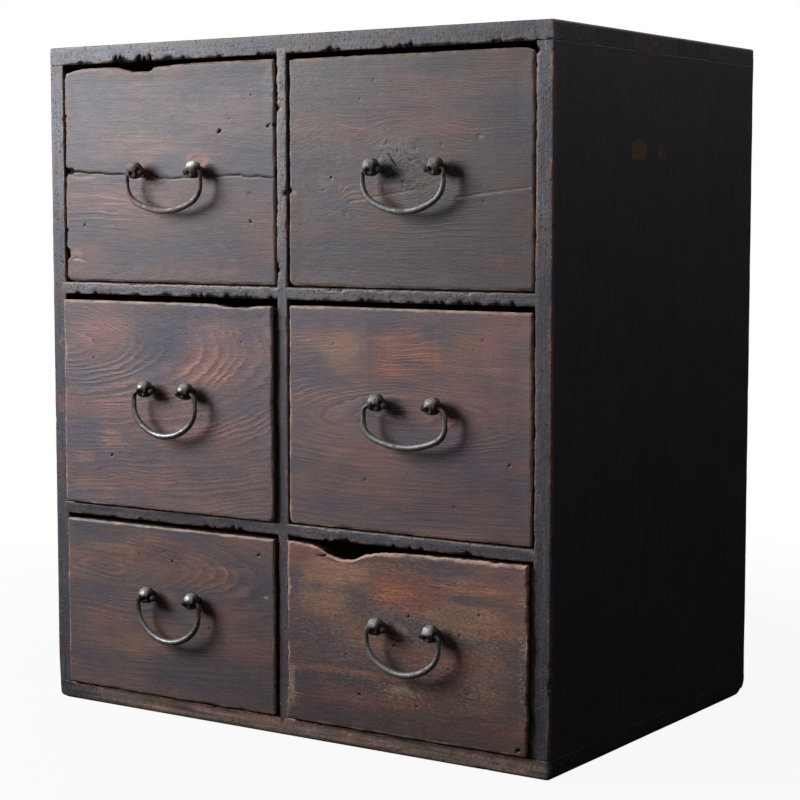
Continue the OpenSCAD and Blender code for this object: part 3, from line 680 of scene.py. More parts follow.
class Finish(Nodes):
    """One material's nodes, with a Principled shader that its maker fills in. A clouded pattern's sizes are in
    millimetres, along X, Y and Z."""

    def __init__(self, name, **shader):
        self.material = bpy.data.materials.new(name)
        self.material.use_nodes = True
        super().__init__(self.material.node_tree, "Material")
        self.shader = self.tree.nodes.new("ShaderNodeBsdfPrincipled")
        self.feed(self.output, {0: Value(self, self.shader.outputs[0])})
        self.feed(self.shader, shader)

    def field(self, name):
        """A number that the piece's points carry."""
        return self.add("Attribute", {"attribute_name": name}, output="Fac")

    def clouds(self, sizes, detail, roughness, turn=(0, 0, 0)):
        """Noise from 0 to 1 with lumps of those sizes, on object coordinates."""
        scale = [1000.0 / size for size in sizes]
        at = self.add("TexCoord", output="Object")
        at = self.add("Mapping", None, {"Vector": at, "Rotation": turn, "Scale": scale})
        return self.add("TexNoise", None, {"Vector": at, "Scale": 1.0, "Detail": detail, "Roughness": roughness})

    def flecks(self, sizes, share, turn=(0, 0, 0)):
        """Small separate marks: where fine noise stands above a threshold that leaves about that share bare."""
        return self.clouds(sizes, 2.0, 0.5, turn).fit(0.72 - 0.4 * share, 0.78 - 0.4 * share)

    def blend(self, under, over, share, how="MIX"):
        """One colour laid over another by a share."""
        return self.add("Mix", {"data_type": "RGBA", "blend_type": how}, {0: share, 6: under, 7: over}, output=2)

    def coated(self, ground, *coats):
        """The ground under one coat after another, each a colour and its share."""
        for coat, share in coats:
            ground = self.blend(ground, coat, share)
        return ground

    def tinted(self, ground, *tints):
        """The ground times one tint after another, each a colour and its share."""
        for tint, share in tints:
            ground = self.blend(ground, tint, share, "MULTIPLY")
        return ground

    def shaded(self, ground):
        """The ground times the piece's painted light and shade, which is partly the wood's own change."""
        return self.add("VectorMath", {"operation": "SCALE"}, {0: ground, "Scale": self.field("shade")})

    def done(self, relief, height, **shader):
        """Fills in the shader, with a relief of that height in millimetres."""
        bump = self.add("Bump", None, {"Strength": relief, "Distance": MM, "Height": height})
        self.feed(self.shader, {**shader, "Normal": bump})
        return self.material


def scaled(colour, share):
    """A colour times a share."""
    return tuple(share * part for part in colour)


def lengthwise(axis, across, along):
    """Sizes of a pattern that is stretched along one axis."""
    return [along if number == axis else across for number in range(3)]


def front_wood(palette, name, tone, hue):
    """Stained softwood. The rings come from the piece's own ring count, as ridges that rise slowly and drop
    sharply, plainer in some patches than in others; fibres, pores and scratches run along them; stains and worn
    edges come from the piece's fields."""
    finish = Finish(name, Specular_IOR_Level=0.5)
    stained = ("stain", "umber", "red", "rust", "ochre", "blue")
    wood = {key: tuple(tone * turn * part for turn, part in zip(hue, getattr(palette, key))) for key in stained}
    wood["bare"] = scaled(palette.bare, min(tone, 1.4))
    streaks = finish.clouds((70, 40, 2.6), 3.0, 0.6)
    fibres = finish.clouds((26, 20, 0.55), 3.0, 0.65)
    clouds = finish.clouds((34, 30, 15), 4.0, 0.6)
    mottle = finish.clouds((7, 7, 3.2), 4.0, 0.65)
    patches = finish.clouds((52, 30, 17), 3.0, 0.6)
    grime = finish.clouds((2.3, 2.3, 0.85), 3.0, 0.7)
    ticks = finish.clouds((0.75, 0.75, 3.2), 2.0, 0.5)
    veil = finish.clouds((58, 58, 24), 2.0, 0.5)
    thin = finish.clouds((16, 9, 9), 3.0, 0.7)
    knot, edge, burr = finish.field("knot"), finish.field("edge"), finish.field("burr")
    gap = finish.field("gap") + (fibres - 0.5) * 0.5
    saw = (finish.field("ring") + (streaks - 0.5) * 0.9 + (mottle - 0.5) * 0.3).fraction()
    lines = finish.field("lines") * (0.22 + patches.fit(0.4, 0.6) * 0.85)
    ridge = saw.late_wood(0.4, 0.84)

    # The stain and its patches, then the rings
    warm = (finish.field("warm") * (0.35 + clouds) * (0.55 + streaks * 0.8)).clamped()
    ochre = (finish.field("ochre") * (0.3 + mottle * 1.2) * (0.4 + streaks)).clamped()
    cool = (finish.field("cool") * (0.25 + clouds * 0.6 + mottle * 0.7)).clamped()
    rust = (finish.field("rust") * (streaks.fit(0.36, 0.62) * 0.7 + grime.fit(0.4, 0.7) * 0.5)).clamped()
    warmed = (0.2 + (finish.field("warm") + finish.field("rust")) * 0.85).clamped()
    glow = (ridge * lines * warmed * clouds.fit(0.32, 0.62)).clamped()
    ground = finish.coated(
        wood["umber"],
        (wood["stain"], (clouds * 0.9 + streaks * 0.55 - 0.2).clamped()),
        (wood["blue"], veil.fit(0.49, 0.66) * 0.6),
        (wood["red"], veil.fade(0.33, 0.49) * 0.5),
        (wood["red"], warm),
        (wood["ochre"], ochre),
        (wood["blue"], cool),
        (wood["rust"], rust * 0.85),
        (wood["rust"], glow * 0.45),
    )
    ground = finish.tinted(
        ground,
        ((0.5, 0.47, 0.5), (saw.fade(0.02, 0.3) * lines * 0.6).clamped()),
        ((1.65, 1.46, 1.44), (ridge * lines * 0.5).clamped()),
        ((0.42, 0.42, 0.44), fibres.fade(0.28, 0.5) * 0.6),
        ((1.7, 1.62, 1.58), fibres.fit(0.54, 0.76) * 0.5),
        ((0.4, 0.4, 0.43), grime.fade(0.3, 0.5) * 0.62),
        ((1.75, 1.62, 1.55), grime.fit(0.56, 0.76) * 0.5),
        ((0.45, 0.44, 0.46), (burr * grime.fade(0.42, 0.56) * 0.75).clamped()),
        ((1.5, 1.45, 1.4), (burr * mottle.fit(0.54, 0.66) * 0.6).clamped()),
        ((0.62, 0.6, 0.66), (finish.field("label") * (0.6 + clouds * 0.7)).clamped()),
    )

    # Knots, bare wood, scratches, worm holes and cracks, and painted shade on the rim behind the face
    rim = abs(knot - 1.0).fade(0.04, 0.16)
    inside = knot.fade(0.9, 1.05)
    heart = (knot * 6.5 + (mottle - 0.5) * 1.4).fraction().fit(0.3, 0.9)
    worn_edge = edge.fade(0.35, thin * thin * 5.0 + 0.5) * thin.fit(0.3, 0.55)
    flaked = finish.field("flake") * grime.fit(0.5, 0.64) * (0.35 + ticks * 1.1)
    bare = (finish.field("tan") * (0.2 + grime * 1.5)).most(worn_edge * 0.75).most(flaked).clamped()
    scratch = finish.flecks((14, 9, 0.5), 0.16) * clouds.fit(0.55, 0.75)
    pits = finish.flecks((1.5, 1.5, 0.9), 0.1) * clouds.fit(0.4, 0.7)
    open_gap = gap.fade(-0.05, 0.28)
    ground = finish.coated(
        ground,
        (finish.blend(wood["umber"], wood["stain"], heart), inside * 0.75),
        (wood["blue"], (rim * 0.8 + inside * mottle.fit(0.5, 0.7) * 0.5).clamped()),
        (
            finish.blend(wood["bare"], wood["ochre"], mottle.fit(0.35, 0.75)),
            (bare * 0.85).most(scratch * 0.3).clamped(),
        ),
    )
    ground = finish.tinted(ground, ((0.5, 0.48, 0.48), gap.fade(0.0, 1.8) * 0.6))
    ground = finish.coated(ground, ((0.004, 0.004, 0.004), open_gap.most(pits * 0.6).clamped()))
    # Painted shade: the rim behind the face, down in the gap round the front, is darkened nearly to black
    ground = finish.tinted(ground, ((0.16, 0.15, 0.15), finish.field("deep")))

    height = ridge * lines * 0.06 + fibres * 0.09 + grime * 0.12 + ticks * flaked * 0.1 + mottle * 0.08
    height = height + clouds * 0.25 + heart * inside * 0.05 + (mottle * 0.4 + grime * 0.3) * burr
    height = height - open_gap * 1.1 - pits * 0.25 - bare * 0.12 - worn_edge * 0.2
    rough = 0.36 + mottle * 0.18 + bare * 0.25 + open_gap * 0.6 - warm * 0.05 + (1 - streaks) * 0.08
    # The base colour is scaled by the front's painted light and shade, partly the stain's own change
    return finish.done(0.85, height, Base_Color=finish.shaded(ground), Roughness=rough.clamped())


def lacquered_wood(
    colours, name, along, under, over, wear, cloudiness=1.0, specular=0.6, roughness=0.38, streaky=0.4, handled=0.0
):
    """Old wiped lacquer over softwood whose grain runs along one axis: a cool bloom in clouds, reddish patches,
    brush and fibre streaks, and bare or reddish wood along the rubbed edges. Behind the front, ring lines and
    places rubbed through to brown wood show as far as the board was handled."""
    finish = Finish(name, Specular_IOR_Level=specular)
    streaks = finish.clouds(lengthwise(along, 3.0, 60.0), 3.0, 0.6)
    fibres = finish.clouds(lengthwise(along, 0.8, 24.0), 3.0, 0.65)
    clouds = finish.clouds((30, 30, 30), 4.0, 0.6)
    mottle = finish.clouds((5, 5, 5), 4.0, 0.7)
    grime = finish.clouds((1.6, 1.6, 1.6), 3.0, 0.7)
    patches = finish.clouds((44, 44, 26), 3.0, 0.6)
    rings = (finish.clouds(lengthwise(along, 26.0, 260.0), 2.0, 0.5) * 9.0 + fibres * 0.25).fraction()
    edge, front = finish.field("edge"), finish.field("front")
    behind = (1 - front) * handled
    late = rings.late_wood(0.35, 0.85) * (1 - front)

    # The lacquer, its streaks and its dirt
    share = ((clouds * 1.1 * cloudiness + streaks * 0.6 - 0.4) * (1 - finish.field("dull") * 0.8)).clamped()
    ground = finish.blend(under, finish.blend(colours.lacquer, over, share), front * 0.92 + share * 0.1)
    ground = finish.tinted(
        ground,
        ((1.3, 0.88, 0.75), patches.fit(0.46, 0.64) * front * 0.75),
        ((0.5, 0.5, 0.5), streaks.fade(0.34, 0.52) * streaky),
        ((1.75, 1.68, 1.6), streaks.fit(0.52, 0.68) * streaky),
        ((0.45, 0.45, 0.47), fibres.fade(0.28, 0.5) * 0.6),
        ((1.5, 1.48, 1.45), fibres.fit(0.56, 0.8) * 0.5),
        ((0.35, 0.34, 0.35), grime.fade(0.32, 0.5) * 0.65),
        ((1.9, 1.8, 1.75), grime.fit(0.56, 0.72) * front * 0.75),
    )

    # Brown wood where hands went, scuffs, worn edges, painted shadow in the bites, rubbed spots and pits
    patchy = mottle.fit(0.4, 0.62)
    thin = clouds.fit(0.47, 0.66) * (streaks * 1.5 - 0.1) + late * 0.35 + edge.fade(0.5, 14.0) * patchy
    thin = thin.clamped()
    scuffed = finish.flecks((7, 7, 0.5) if along == 2 else (7, 0.6, 7), 0.14, (0.4, 0.3, 0.9))
    scuffs = scuffed * mottle.fit(0.4, 0.6) * (1 - front)
    worn = edge.fade(0.2, mottle * mottle * 11.0 + 0.35) * clouds.fit(0.32, 0.56)
    worn = (worn * wear * front).clamped()
    # Painted shadow in the bites, roughened by noise; it is laid on near black below
    torn = (finish.field("chew") * (0.05 + mottle * 0.7 + grime * 1.0)).clamped()
    spots = (finish.field("rub") * (mottle * 1.5 + streaks * 0.7 - 0.2)).clamped()
    pits = finish.flecks((2.2, 2.2, 2.2), 0.2) * clouds.fit(0.3, 0.55)
    ground = finish.coated(
        ground,
        (finish.blend(colours.red, colours.umber, patchy), (thin * behind).clamped()),
        (colours.bloom, (scuffs * 0.4).clamped()),
        (finish.blend(colours.red, colours.bare, grime.fit(0.5, 0.72)), worn * 0.8),
        ((0.006, 0.005, 0.006), torn.fit(0.42, 0.62)),
        (finish.blend(colours.rust, colours.bare, mottle.fit(0.5, 0.7)), spots.fit(0.25, 0.75) * 0.65),
        ((0.006, 0.006, 0.007), (pits * 0.85).clamped()),
    )
    height = (fibres * 0.12 + grime * 0.2 + mottle * 0.2 + streaks * 0.12) * (0.45 + front * 0.55) + late * 0.09
    height = height + thin * behind * 0.15 + clouds * 0.2 - pits * 0.35 - worn * 0.1
    rough = roughness + mottle * 0.18 + torn * 0.3 + (1 - front) * 0.08 - share * 0.05
    # The base colour is scaled by the board's painted light and shade, partly the lacquer's own change
    return finish.done(0.8, height, Base_Color=finish.shaded(ground), Roughness=rough.clamped())


def bare_wood(name, along, colour, dark, ring_width):
    """Unfinished aged wood on the inner boards: wavy ring lines along one axis, fibres and handling dirt."""
    finish = Finish(name, Specular_IOR_Level=0.35)
    waves = finish.clouds(lengthwise(along, 22.0, 220.0), 2.0, 0.5)
    fibres = finish.clouds(lengthwise(along, 0.9, 30.0), 3.0, 0.65)
    dirt = finish.clouds((45, 45, 45), 4.0, 0.6)
    late = (waves * (48.0 / ring_width) + fibres * 0.25).fraction().late_wood(0.35, 0.85)
    ground = finish.blend(colour, dark, (late * 0.42 + dirt.fit(0.45, 0.8) * 0.45).clamped())
    ground = finish.tinted(ground, ((0.6, 0.57, 0.54), fibres.fade(0.3, 0.52) * 0.55))
    height = late * 0.12 + fibres * 0.12 + dirt * 0.15
    return finish.done(0.7, height, Base_Color=ground, Roughness=(0.62 + dirt * 0.2).clamped())


def forged_iron(colours, name, rusty, roughness, tone):
    """Hand forged iron: dark scale with hammer dents, brown rust in patches, a brighter skin where fingers have
    rubbed the bails, a painted highlight on the heads' crowns, near white on one head, and painted shade, near
    black, in the heads' hollows and at the bails' ends."""
    finish = Finish(name, Specular_IOR_Level=0.5)
    dents = finish.clouds((2.6, 2.6, 2.6), 2.0, 0.5)
    scale = finish.clouds((0.9, 0.9, 0.9), 3.0, 0.65)
    patches = finish.clouds((6, 6, 6), 4.0, 0.65)
    # Painted shade in the heads' hollows and at the bails' ends inside the eyes
    pit = finish.field("pit")
    # Finger wear on the bails, and a painted highlight on the heads' crowns; above 1 it also gives a near-white
    # painted highlight
    shine = (finish.field("shine") * (0.6 + dents * 0.7)).clamped()
    painted_near_white_highlight = (finish.field("shine") - 1.0).clamped()
    rust = (patches.fit(0.62 - 0.25 * rusty, 0.74 - 0.2 * rusty) * (1 - shine * 0.8)).clamped()
    ground = finish.coated(scaled(colours.iron, tone), (colours.iron_worn, shine), (colours.iron_rust, rust * 0.8))
    ground = finish.tinted(ground, ((0.4, 0.38, 0.36), scale.fade(0.3, 0.55) * 0.75))
    # A near-white painted highlight, then painted shade in the hollows
    ground = finish.coated(ground, ((0.92, 0.92, 0.93), painted_near_white_highlight), ((0.005, 0.004, 0.004), pit * 0.93))
    metallic = (0.7 - rust * 0.6 - pit * 0.6 - shine * 0.45).clamped()
    rough = (roughness + rust * 0.3 + scale * 0.2 - painted_near_white_highlight * 0.15 + pit * 0.4).clamped()
    height = dents * 0.3 + scale * 0.12 + rust * 0.06
    return finish.done(0.7, height, Base_Color=ground, Metallic=metallic, Roughness=rough)


# Pieces ---------------------------------------------------------------------------------------------------


OUTER_BOARDS = ("top_board", "bottom_board", "left_side_board", "right_side_board")
BOARD = 12  # thickness of an outer board
OVERLAP = 8  # how far a corner finger runs into the body of its board
HAIR = 0.04  # how far it lies inside the faces that it would share with the body
# From where to where behind the front edge the corner fingers stand
SIDE_FINGERS = ((50, 98), (160, 205))
LEVEL_FINGERS = ((0, 50), (98, 160), (205, 276))
# The lowest and the highest corner of the case
OUTER_BOXES = [node_box(node) for node in OUTER_BOARDS]
CASE_LOW = np.min([low for low, _ in OUTER_BOXES], axis=0)
CASE_HIGH = np.max([high for _, high in OUTER_BOXES], axis=0)
# The room for the back boards: half its width, its lower and upper walls, and how deep it is
BACK_LOW, BACK_HIGH = node_box("back_lower_board")[0], node_box("back_upper_board")[1]
WALL_X, WALL_LOW, WALL_HIGH, ROOM_DEPTH = BACK_HIGH[0], BACK_LOW[2], BACK_HIGH[2], BACK_HIGH[1] - BACK_LOW[1]


def worn_case(points, sizes):
    """Rounds the case's own corners, the same for every board, so that their joints still meet: the upper
    corners and the lower ones seen from the front, the rubbed lower corners seen from the side, and the upright
    front corners, rounder near the floor."""
    left, right, front, rear, bottom, top = (
        (corner[axis], side) for axis in range(3) for corner, side in ((CASE_LOW, -1), (CASE_HIGH, 1))
    )
    painted_crown_highlight, foot, heel = sizes.top_corner / MM, sizes.foot_corner / MM, sizes.rear_corner / MM
    for axes, side, end, radius in (
        ((0, 2), left, top, painted_crown_highlight), ((0, 2), right, top, painted_crown_highlight * 0.6),
        ((0, 2), left, bottom, foot), ((0, 2), right, bottom, foot * 0.4),
        ((1, 2), front, bottom, heel * 0.2), ((1, 2), rear, bottom, heel),
    ):
        points = round_corner(points, axes, (side, end), radius)
    ankle = 1.2 + 2 * fade(points[:, 2], 4, 34)
    for side in (left, right):
        points = round_corner(points, (0, 1), (side, front), ankle)
    return points


def board_blocks(name):
    """The boxes a case board is made of: its own body, and the fingers at its ends, which run a little way into
    the body and lie a hair inside the faces they share with it. Each comes with the axis its grain runs along."""
    low, high = node_box(name)
    if name not in OUTER_BOARDS:
        return [(low, high)], 2 if name == "centre_upright" else 0
    along, across, fingers = (2, 0, SIDE_FINGERS) if "side" in name else (0, 2, LEVEL_FINGERS)
    end, inside = BOARD * np.eye(3)[along], HAIR * np.eye(3)[across]
    blocks = [(low + end, high - end)]
    for (near, far), upper in itertools.product(fingers, (0, 1)):
        a, b = low.copy(), high.copy()
        a[1], b[1] = low[1] + near + HAIR, low[1] + far - HAIR
        if upper:
            a[along] = high[along] - BOARD - OVERLAP
        else:
            b[along] = low[along] + BOARD + OVERLAP
        blocks.append((a + inside, b - inside))
    return blocks, along


def meeting(name, points, low, high):
    """1 where two boards of the case meet flush, where neither edge is worn, and 0 a little way from there."""
    if name not in OUTER_BOARDS:
        return np.zeros(len(points))
    if "side" in name:
        return fade(np.minimum(points[:, 2] - BOARD, CASE_HIGH[2] - BOARD - points[:, 2]), 0, 4)
    middle = (low[2] + high[2]) / 2
    inner = points[:, 2] < middle if name == "top_board" else points[:, 2] > middle
    return smooth(np.abs(points[:, 0]), CASE_HIGH[0] - BOARD - 2, CASE_HIGH[0] - BOARD + 1) * inner


def board_lines(name, low, high, along, step):
    """The grid lines of a block along each axis: fine near its edges, even along its grain, coarse in its
    depth, and close to the walls of the back boards' room on both sides."""
    lines = []
    for axis, length in enumerate(high - low):
        if axis == along and length > 60:
            lines.append(spaced(low[axis], high[axis], step))
        elif axis == 1:
            fine = (0, 0.3, 0.7, 1.2, 1.9, 2.8, 4.0, 5.4, 7.2, 10)
            lines.append(spaced(low[axis], high[axis], 7, fine if length > 60 else fine[:7]))
        elif length > 60:
            lines.append(spaced(low[axis], high[axis], 4))
        else:
            lines.append(spaced(low[axis], high[axis], 1.4, (0, 0.25, 0.6, 1.1, 1.8, 2.7)))
    if name in OUTER_BOARDS:
        for axis, walls in ((0, (-WALL_X, WALL_X)), (2, (WALL_LOW, WALL_HIGH))):
            near = [wall + side for wall in walls for side in (-0.1, 0.1) if low[axis] + 1 < wall < high[axis] - 1]
            lines[axis] = np.union1d(lines[axis], near)
    return lines


def case_board(name, low, high, along, sizes, seed):
    """One block of a case board as a closed skin with eased edges. Along its front edge the radius of the easing
    grows with the listed bites, apart from the half that it is on. The inner half of an outer board's rear end is
    drawn forward, which leaves the rabbet that the back boards lie in."""
    points, faces = box_skin(*board_lines(name, low, high, along, sizes.step / MM))
    edge = edge_distance(points, low, high)
    meets = meeting(name, points, low, high)
    across = 0 if along == 2 else 2
    upper = points[:, across] > (low[across] + high[across]) / 2
    chewed = CHEWED[name]
    ragged_low, ragged_high = chewed["ragged"]
    low_bites = bites(points[:, along], ragged_low, chewed.get("low", ()), seed + 40)
    high_bites = bites(points[:, along], ragged_high, chewed.get("high", ()), seed)
    depth = np.where(upper, high_bites, low_bites) * fade(points[:, 1], CASE_LOW[1] + 4, CASE_LOW[1] + 16)

    radius = sizes.arris / MM * (0.75 + 0.35 * grit(points, 14, seed + 70, 2)) + depth
    radius = np.clip(radius, 0.25, 0.46 * (high[across] - low[across]))
    radius = np.minimum(radius, 0.46 * min(high - low)) * (1 - 0.75 * meets)
    moved = ease_edges(points, low, high, radius)
    swell = 0.12 * grit(points, 26, seed + 80, 3) * smooth(edge, 1, 8)
    on_face = np.isclose(points[:, 1], low[1]) & (edge > 0.9 * radius)
    moved[:, 1] += np.where(on_face, np.abs(swell) * 1.2, 0)
    bitten = depth * fade(edge / np.maximum(depth, 0.4), 0.2, 1.2)
    moved[:, across] += np.where(upper, -1, 1) * 0.3 * bitten
    torn = 0.22 * depth * np.abs(grit(points, 1.9, seed + 90, 2)) * fade(edge, 2, 7)
    moved[:, 1] += np.where(points[:, 1] < CASE_LOW[1] + 8, torn, 0)
    if name in OUTER_BOARDS:
        roomy = (np.abs(points[:, 0]) < WALL_X) & (points[:, 2] > WALL_LOW) & (points[:, 2] < WALL_HIGH)
        drawn = (ROOM_DEPTH + HAIR) * np.clip(points[:, 1] / CASE_HIGH[1], 0, 1)
        moved[:, 1] -= np.where(roomy, drawn, 0)

    rub = np.zeros(len(points))
    for centre, reach, strength in RUBBED.get(name, ()):
        away = np.linalg.norm((points - np.array(centre)) / np.array(reach), axis=1)
        rub = np.maximum(rub, strength * fade(away, 0.35, 1.15))
    fields = {
        "edge": np.minimum(edge, 30) + 6 * meets,
        # Where the bites are deep, for their painted shadow
        "chew": smooth(depth, 0.7, 2.0) * fade(edge / np.maximum(depth, 0.5), 0.55, 1.3),
        "rub": rub,
        "front": fade(points[:, 1], CASE_LOW[1] + 1.0, CASE_LOW[1] + 4),
        "dull": fade(points[:, 0], -188, -120) * (name == "bottom_board"),
        # Painted light and shade along the board, partly the lacquer's own change
        "shade": np.interp(points[:, along], *zip(*STAIN_AND_PAINTED_LIGHT.get(name, ((0, 1),)))),
    }
    return worn_case(moved, sizes), [faces], fields


def edge_run(places, listed, seed, rag):
    """How far an edge is worn in along its length: straight runs between the listed depths, plus fine rag."""
    run = np.interp(places, *np.array(listed, float).T)
    return run + rag * np.abs(grit(places, 7, seed, 3)) + 0.3 * rag * np.abs(grit(places, 1.8, seed + 60, 2))


def front_outline(x, z, low, high, front, seed):
    """Moves a front's rectangle to its worn outline: each edge is drawn in by its run, fading over 13 mm, and each
    corner is rounded by its own radius."""
    plain_rag = 0.22
    rag = front.get("rag", plain_rag)
    top = edge_run(x, front["top"], seed, rag)
    bottom = edge_run(x, front["bottom"], seed + 1, plain_rag)
    left = edge_run(z, front["left"], seed + 2, rag)
    right = edge_run(z, front["right"], seed + 3, rag)
    near = fade(np.stack([high[2] - z, z - low[2], x - low[0], high[0] - x]), 0, 13)
    moved_x = x + left * near[2] - right * near[3]
    moved_z = z - top * near[0] + bottom * near[1]
    moved = np.stack([moved_x, np.zeros_like(x), moved_z], 1)
    ends = itertools.product(((low[2], -1), (high[2], 1)), ((low[0], -1), (high[0], 1)))
    for (end_z, end_x), radius in zip(ends, front["corners"]):
        moved = round_corner(moved, (0, 2), (end_x, end_z), radius)
    return moved[:, 0], moved[:, 2]


def ring_count(x, z, front, seed):
    """The number of the growth ring at each place: the distance to the tree's heart, which runs under the board at
    a slope, over the ring width, with some years wider than others. Round a knot the lines part as a stream does
    round a stone: a place's height above the knot shrinks by one less the square of the knot's reach over
    distance."""
    heart_x, heart_z, slope, dive, width = front["grain"]
    bent = z.copy()
    for knot_x, knot_z, _, reach in front.get("knots", ()):
        away = np.hypot(x - knot_x, bent - knot_z)
        share = np.clip(1 - (reach / np.maximum(away, 1e-6)) ** 2, 0, 1)
        bent = knot_z + (bent - knot_z) * share
    field = np.stack([x / 62, bent / 30], 1)
    wander = front["wander"] * (grit(field, 1, seed, 2) + 0.35 * grit(field * 3.1, 1, seed + 5, 2))
    count = np.hypot(bent - heart_z - slope * (x - heart_x) - wander, dive * (x - heart_x)) / width
    return count + 0.5 * np.sin(0.9 * count + seed) + 0.15 * np.sin(2.3 * count)


def line_distance(x, z, line):
    """Distance to a crack, less its own half width there: the least over its straight stretches."""
    best = np.full(len(x), 9.0)
    for (x0, z0, w0), (x1, z1, w1) in zip(line[:-1], line[1:]):
        dx, dz = x1 - x0, z1 - z0
        t = np.clip(((x - x0) * dx + (z - z0) * dz) / (dx * dx + dz * dz), 0, 1)
        best = np.minimum(best, np.hypot(x - x0 - t * dx, z - z0 - t * dz) - (w0 + t * (w1 - w0)))
    return best


def front_fields(x, z, front, seed):
    """What the finish reads at each point of a front's face: the distance to its knots in knot radii, and to its
    cracks and holes, the strength of each kind of stain, the labels, the painted light and shade, and the rings."""
    at = np.stack([x, z], 1)
    knot = np.full(len(x), 9.0)
    for knot_x, knot_z, radius, _ in front.get("knots", ()):
        uneven = 1 + 0.05 * grit(at, radius, seed, 2)
        knot = np.minimum(knot, np.hypot(x - knot_x, (z - knot_z) * 1.06) / radius * uneven)
    gap = np.full(len(x), 9.0)
    for line in front.get("cracks", ()):
        gap = np.minimum(gap, line_distance(x, z + 0.7 * grit(x, 9, seed + 3, 2), line))
    torn = 1 + 0.4 * grit(at, 1.3, seed + 7, 2)
    for number, (hole_x, hole_z, radius) in enumerate(front["holes"]):
        turn = 0.5 + 1.7 * number
        along = (x - hole_x) * math.cos(turn) + (z - hole_z) * math.sin(turn)
        across = (z - hole_z) * math.cos(turn) - (x - hole_x) * math.sin(turn)
        gap = np.minimum(gap, np.hypot(0.85 * along, 1.6 * across) - radius * torn)
    fields = {}
    ragged = 0.22 * grit(np.stack([x / 16, z / 7], 1), 1, seed + 11, 3)
    for kind in ("warm", "cool", "rust", "ochre", "tan", "flake", "grain", "burr"):
        fields[kind] = np.zeros(len(x))
        for at_x, at_z, half_x, half_z, strength in front["stains"].get(kind, ()):
            away = np.hypot((x - at_x) / half_x, (z - at_z) / half_z) + ragged
            fields[kind] = np.maximum(fields[kind], strength * fade(away, 0.35, 1.15))
    for line in front.get("scratches", ()):
        fields["tan"] = np.maximum(fields["tan"], 0.9 * fade(line_distance(x, z, line), -0.15, 0.55))
    label = np.zeros(len(x))
    for x0, x1, z0, z1, strength in front.get("labels", ()):
        inside = smooth(np.minimum(x - x0, x1 - x), -0.8, 0.8) * smooth(np.minimum(z - z0, z1 - z), -0.8, 0.8)
        label = np.maximum(label, strength * inside)
    # Painted light and shade: a factor at each corner, mostly darker towards the lower right, blended across the
    # face
    share_x, share_z = (x - x.min()) / np.ptp(x), (z - z.min()) / np.ptp(z)
    low_left, low_right, high_left, high_right = front["shade"]
    low_stain_and_painted_light = low_left + (low_right - low_left) * share_x
    shade = low_stain_and_painted_light + (high_left + (high_right - high_left) * share_x - low_stain_and_painted_light) * share_z
    near_warm = np.clip(fields["warm"] + 0.5 * fields["rust"] + 0.4 * fields["ochre"], 0, 1)
    lines = front["lines"] * (0.6 + 0.4 * near_warm) + 0.9 * fields["grain"]
    ring = ring_count(x, z, front, seed)
    return {**fields, "knot": knot, "gap": gap, "label": label, "shade": shade, "ring": ring, "lines": lines}


